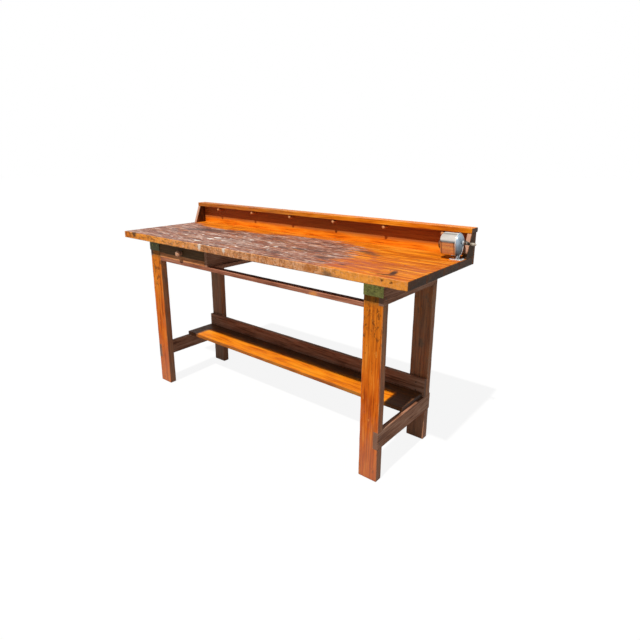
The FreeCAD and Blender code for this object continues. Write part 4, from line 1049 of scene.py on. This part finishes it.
class BENCH_OT_sharpener(bpy.types.Operator):
    """Build the plated sharpener: drum, stand, crank arm and grip"""
    bl_idname = "bench.sharpener"
    bl_label = "Sharpener"

    def execute(self, context):
        # chrome plate gone hazy: a soft reflection with smudges, and dark painted reflections in bands and
        # along the bends
        chrome = metal("hazy_chrome_plate", "#e6dfd8", "#cfc8c0", rough=0.12, grain=0.03, painted_shading="#2c2826",
                       metallic=0.86)
        # cast zinc with a satin face, its blue partly a painted reflection of the sky, a painted highlight
        # on its rim, rib, boss end and foot, and painted shade on its low, back side
        casting = metal("satin_zinc_casting", "#a6bacb", "#879bac", rough=0.36, grain=0.02, relief=0.05 * MM,
                        painted_highlight="#d4d7d8", painted_shading="#22201f", metallic=0.4)
        # steel made dark brown, which paints the shade and dark reflections on the arm, with darker smudges;
        # the dial and the nut share it
        dark = metal("browned_steel", "#6a5c50", "#3f342c", rough=0.34, grain=0.008, relief=0.05 * MM)
        # the works inside, as the machine left them
        steel = metal("machined_steel", "#a8a6a2", "#7c7a76", rough=0.28, grain=0.006, relief=0.05 * MM)
        axis = joint_place("crank_turn")
        self.drum(chrome, axis)
        self.stand(casting, axis)
        self.crank(dark, axis)
        dress(("dial_rivet", "grip_pin"), chrome)
        dress(("size_dial", "crank_nut"), dark)
        dress(("ring_gear", "cutter_carrier", "cutter_pins", "cutter_upper", "cutter_lower"), steel)
        return {"FINISHED"}

    def drum(self, chrome, axis):
        """A thin cup: out over the rounded end, along to the rim, and back along the inside to the hole."""
        low, high = corners("shavings_drum")
        bend, wall, hole, lip = sizes().drum_round, sizes().drum_wall, 6.5 * MM, 0.4 * MM
        turn = np.linspace(0, pi / 2, 11)
        outer = np.stack([low[X] + bend * (1 - np.cos(turn)), bend * (1 - np.sin(turn))], -1)
        along = np.linspace(low[X] + bend, high[X] - lip, 34)[1:]
        rim = [(x, 0.0) for x in along] + [(high[X], lip), (high[X], wall - lip), (high[X] - lip, wall)]
        tight = bend - wall
        inner = np.stack([low[X] + wall + tight * (1 - np.cos(turn)), wall + tight * (1 - np.sin(turn))], -1)
        shell = drum_rings(np.concatenate([outer, rim, inner[::-1]]))
        # the rings at the pencil hole are round, and close the flat end between them
        flat = shell[0] - axis
        flat *= hole / np.hypot(flat[:, Y], flat[:, Z])[:, None]
        first, last = axis + flat, axis + flat
        first[:, X], last[:, X] = low[X], low[X] + wall
        points = np.concatenate([first[None], shell, last[None]])
        # painted reflections: dark bands along the drum at its front and near its top, and lines across the
        # front's two ends
        round_front = np.arctan2(points[..., Z] - axis[Z], points[..., Y] - axis[Y]) % tau - pi
        bands = 0.85 * np.exp(-((round_front + 0.06) / 0.14) ** 2)
        bands += 0.6 * np.exp(-((round_front + 1.1) / 0.12) ** 2)
        ends = np.exp(-((points[..., X] - high[X] + 4 * MM) / (2 * MM)) ** 2)
        ends += np.exp(-((points[..., X] - low[X] - 0.7 * bend) / (2.5 * MM)) ** 2)
        painted_reflections = np.minimum(bands + 0.7 * ends * (round_front > -0.05), 0.85)
        build("shavings_drum_plated", [{"points": points, "looped": True, "dull": painted_reflections}], "drum", chrome,
              ["shavings_drum"])

    def stand(self, casting, axis):
        """A rimmed plate of the drum's outline with a domed middle, a stem, a round-cornered foot and a
        boss. The dome's rings shrink towards the axis by a share, and stand out by the square root of one
        less that share squared. A rib runs down the middle of the dome from the boss to the foot."""
        low, high = corners("sharpener_stand")
        left, rim = corners("shavings_drum")[1][X] + 0.3 * MM, sizes().stand_rim
        thick, soft, foot_half, stem_half = 4 * MM, 0.8 * MM, 22 * MM, 14 * MM
        right = left + thick
        plate = drum_rings(eased(left, right, soft) - (0, rim / 2))
        ring = drum_rings([(right, 1.2 * MM)])[0] - axis
        share = np.cos(np.linspace(0, 0.47 * pi, 16))[:, None]
        dome = axis + ring[None] * share[..., None]
        dome[..., X] = right - 0.5 * MM + sizes().stand_dome * np.sqrt(1 - share ** 2)
        # the plate's rim carries the painted highlight, the dome none
        rubbed = np.concatenate([np.ones(len(plate)), np.zeros(len(dome))])[:, None]
        points = np.concatenate([plate, dome])
        # painted shade, darker behind the axis and below it
        deep = axis[Z] - low[Z]
        behind = (points[..., Y] - axis[Y]) / deep
        below = (axis[Z] - points[..., Z]) / deep
        painted_shade = np.clip(0.4 + behind + 1.2 * below, 0, 0.92)
        shell = {"points": points, "edge": rubbed, "dull": painted_shade, "creases": [len(plate) - 1, len(plate)]}
        top = low[Z] + thick
        foot_low = (low[X], axis[Y] - foot_half, low[Z])
        foot_high = (corners("gallery_end_right")[1][X] - 2 * MM, axis[Y] + foot_half, top)
        foot = plank(foot_low, foot_high, Z, 8 * MM, seed=61, nick=0.0, end=soft)
        # painted highlight over the whole foot
        foot["edge"] = 1.0
        stem_low = (left, axis[Y] - stem_half, top - 1 * MM)
        stem_high = (right, axis[Y] + stem_half, axis[Z] - 50 * MM)
        stem = plank(stem_low, stem_high, Z, soft, seed=62, nick=0.0, end=0.2 * MM)
        rise = (stem["points"][..., Z] - stem_low[Z]) / (stem_high[Z] - stem_low[Z])
        stem["points"][..., Y] = axis[Y] + (stem["points"][..., Y] - axis[Y]) * (1 + 0.25 * (1 - rise) ** 3)
        # half the painted highlight on the stem
        stem["edge"] = 0.5
        boss_end = right + 19 * MM
        boss = turned([(right + 8 * MM, 12 * MM), (right + 14 * MM, 10 * MM), (right + 16 * MM, 7.5 * MM),
                       (boss_end - 1 * MM, 6.6 * MM), (boss_end, 6 * MM)], X, axis)
        # painted highlight on the boss's end
        boss["edge"] = np.array([0.0, 0.0, 0.5, 1.0, 1.0])[:, None]
        rib = self.rib(right, axis, top)
        build("sharpener_stand_cast", [shell, foot, stem, boss, rib], "bench", casting, ["sharpener_stand"])

    def rib(self, right, axis, foot_top):
        """An ellipse carried down the dome's middle, a little behind the axis, and on down to the foot."""
        sides, half_wide, half_proud, back = 12, 1.7 * MM, 2.4 * MM, 3 * MM
        drop = axis[Z] - corners("shavings_drum")[0][Z]
        dome, turn = sizes().stand_dome, np.linspace(0.08 * pi, 0.42 * pi, 20)
        out = np.append(dome * np.cos(turn), 0.0)
        height = np.append(axis[Z] - drop * np.sin(turn), foot_top)
        outward = np.stack([np.append(drop * np.cos(turn), 1.0), np.append(-dome * np.sin(turn), 0.0)], -1)
        outward /= np.linalg.norm(outward, axis=1, keepdims=True)
        angle = np.arange(sides) * tau / sides
        across, proud = half_wide * np.cos(angle), half_proud * np.sin(angle)
        points = np.empty((len(out), len(angle), 3))
        points[..., X] = right + out[:, None] + proud * outward[:, :1]
        points[..., Y] = axis[Y] + back + across
        points[..., Z] = height[:, None] + proud * outward[:, 1:]
        # painted highlight along the whole rib
        return {"points": points, "edge": 1.0}

    def crank(self, dark, axis):
        """The arm is the hull of a large and a small circle; the grip is a barrel turned about its pin."""
        low, high = corners("crank_arm")
        pin = joint_place("grip_spin")
        reach = pin[Y:] - axis[Y:]
        sides, hub, tip, soft = 56, 9 * MM, 6 * MM, 0.7 * MM
        angle = np.arange(sides) * tau / sides
        normals = np.stack([np.cos(angle), np.sin(angle)], -1)
        far = normals @ reach + tip > hub
        centres = np.where(far[:, None], reach[None], 0.0)
        arm = carried(centres, np.where(far, tip, hub), normals, eased(low[X], high[X], soft), X, axis)
        build("crank_arm_plated", [arm], "crank", dark, ["crank_arm"])
        low, high = corners("crank_grip")
        radius, long = (high[Z] - low[Z]) / 2, high[X] - low[X]
        shares = [(0.0, 0.5), (0.02, 0.66), (0.07, 0.78), (0.16, 0.88), (0.32, 0.97), (0.5, 1.0),
                  (0.68, 0.97), (0.84, 0.88), (0.93, 0.78), (0.98, 0.66), (1.0, 0.5)]
        profile = [(low[X] + along * long, share * radius) for along, share in shares]
        grip = turned(profile, X, pin, sides=32)
        # the end by the arm is darker
        grip["dull"] = np.clip(0.9 - 1.5 * np.array(shares)[:, :1], 0, 0.85)
        build("crank_grip_moulded", [grip], "grip", grip_plastic(), ["crank_grip"])


class BENCH_OT_fasteners(bpy.types.Operator):
    """Finish the nails and set slotted heads on the backboard's screws"""
    bl_idname = "bench.fasteners"
    bl_label = "Nails and Screws"

    def execute(self, context):
        # old wire nails: dark and oxidised
        iron = metal("oxidised_iron", "#6a5c50", "#43362d", rough=0.5, grain=0.004)
        # driven screws keep more of their steel
        screw = metal("worn_steel_screw", "#8f8980", "#5f5850", rough=0.36, grain=0.003)
        dress(("top_nails", "apron_nails", "stretcher_nails", "shelf_nails", "back_rail_nails", "cap_nails",
               "drawer_brads"), iron)
        dress(("bracket_screws", "backboard_screws", "runner_screws", "sharpener_screws",
               "drawer_pull_screw"), screw)
        back = corners("gallery_backboard")[1][Y]
        level = (TOP_LOW[Z] + TOP_HIGH[Z]) / 2
        heads = []
        for seed, share in enumerate(BACKBOARD_SHARES):
            spot = (TOP_LOW[X] + share * (TOP_HIGH[X] - TOP_LOW[X]), back, level)
            heads.append(slotted(spot, Y, 1, radius=4.8 * MM, tall=1 * MM, seed=seed))
        build("backboard_screw_heads", heads, "bench", screw)
        return {"FINISHED"}


class BENCH_OT_stage(bpy.types.Operator):
    """Set the floor, the key and fill, and the camera"""
    bl_idname = "bench.stage"
    bl_label = "Stage"

    def execute(self, context):
        self.floor(context)
        self.world(context)
        self.lamp(context)
        self.camera(context)
        context.scene.view_settings.view_transform = "Standard"
        return {"FINISHED"}

    def floor(self, context):
        """A plain pale floor: white to the camera and in reflections, darker to bounced light."""
        span = 30.0
        mesh = bpy.data.meshes.new("floor")
        sheet = [(-span, -span, 0), (span, -span, 0), (span, span, 0), (-span, span, 0)]
        mesh.from_pydata(sheet, [], [(0, 1, 2, 3)])
        floor = bpy.data.objects.new("floor", mesh)
        context.scene.collection.objects.link(floor)
        material = bpy.data.materials.new("pale_studio_floor")
        material.use_nodes = True
        tree = material.node_tree
        tree.nodes.remove(tree.nodes["Principled BSDF"])
        grey = add(tree, "BsdfDiffuse", "#8c8c8c")[0]
        white = add(tree, "Emission", at={"Color": "#ffffff", "Strength": 1.0})[0]
        matt = add(tree, "BsdfDiffuse", "#f4f4f4")[0]
        pale = add(tree, "MixShader", 0.9, matt, white)[0]
        mixed = add(tree, "MixShader", self.seen(tree), grey, pale)[0]
        tree.links.new(mixed, tree.nodes["Material Output"].inputs["Surface"])
        mesh.materials.append(material)

    def seen(self, tree):
        """1 for rays from the camera, off metal or through glass."""
        path = add(tree, "LightPath")
        first = add(tree, "Math", path["Is Camera Ray"], path["Is Glossy Ray"], operation="MAXIMUM")[0]
        return add(tree, "Math", first, path["Is Transmission Ray"], operation="MAXIMUM")[0]

    def world(self, context):
        """A white backdrop, and a dim cool fill for the shaded sides."""
        world = bpy.data.worlds.new("studio")
        world.use_nodes = True
        tree = world.node_tree
        fill = tree.nodes["Background"]
        fill.inputs["Color"].default_value = (0.9, 0.96, 1.0, 1.0)
        fill.inputs["Strength"].default_value = 0.18
        white = add(tree, "Background", at={"Color": "#ffffff", "Strength": 1.0})[0]
        mixed = add(tree, "MixShader", self.seen(tree), fill.outputs[0], white)[0]
        tree.links.new(mixed, tree.nodes["World Output"].inputs["Surface"])
        context.scene.world = world

    def lamp(self, context):
        """A key from the front, high and a little to the right."""
        towards = Vector((0.06, -1.0, 1.62))
        lamp = bpy.data.lights.new("key", "SUN")
        lamp.energy = 3.9
        lamp.angle = radians(1.2)
        lamp.color = (1.0, 0.97, 0.92)
        key = bpy.data.objects.new("key", lamp)
        key.rotation_euler = towards.to_track_quat("Z", "Y").to_euler()
        context.scene.collection.objects.link(key)

    def camera(self, context):
        """The photograph's viewing angle, in a square frame."""
        # in pixels: the frame's width, the focal length and the point that the camera looks along
        frame_width, focal, middle = 640.0, 487.0, (309.2, 292.6)
        # in metres and degrees: where the camera stands, how far it looks down and how far it turns left
        place, down, left = (1.6764, -1.7634, 1.3195), 15.8, 39.84
        data = bpy.data.cameras.new("camera")
        data.sensor_width = 36.0
        data.lens = data.sensor_width * focal / frame_width
        data.shift_x = (frame_width / 2 - middle[0]) / frame_width
        data.shift_y = -(frame_width / 2 - middle[1]) / frame_width
        camera = bpy.data.objects.new("camera", data)
        camera.location = place
        camera.rotation_euler = Euler((radians(90 - down), 0, radians(left)))
        context.scene.collection.objects.link(camera)
        context.scene.camera = camera


OPERATORS = (BENCH_OT_top, BENCH_OT_legs, BENCH_OT_end_boards, BENCH_OT_shelf, BENCH_OT_gallery,
             BENCH_OT_pegs, BENCH_OT_brackets, BENCH_OT_drawer, BENCH_OT_drawer_case, BENCH_OT_sharpener,
             BENCH_OT_fasteners, BENCH_OT_stage)


class BENCH_PT_pieces(bpy.types.Panel):
    """Lists the bench's pieces"""
    bl_idname = "BENCH_PT_pieces"
    bl_label = "Woodworking Bench"
    bl_space_type = "VIEW_3D"
    bl_region_type = "UI"
    bl_category = "Bench"

    def draw(self, context):
        for group in (context.scene.bench_sizes, context.scene.bench_colours):
            for name in group.__annotations__:
                self.layout.prop(group, name)
        for operator in OPERATORS:
            self.layout.operator(operator.bl_idname)


CLASSES = (BenchSizes, BenchColours, *OPERATORS, BENCH_PT_pieces)


def register():
    """Registers the classes and gives the scene the bench's settings."""
    for item in CLASSES:
        bpy.utils.register_class(item)
    bpy.types.Scene.bench_sizes = PointerProperty(type=BenchSizes)
    bpy.types.Scene.bench_colours = PointerProperty(type=BenchColours)


def unregister():
    """Takes the settings and the classes away again."""
    del bpy.types.Scene.bench_colours
    del bpy.types.Scene.bench_sizes
    for item in reversed(CLASSES):
        bpy.utils.unregister_class(item)


def main():
    """Runs every operator in order."""
    register()
    for operator in OPERATORS:
        family, name = operator.bl_idname.split(".")
        getattr(getattr(bpy.ops, family), name)()


if __name__ == "__main__":
    main()
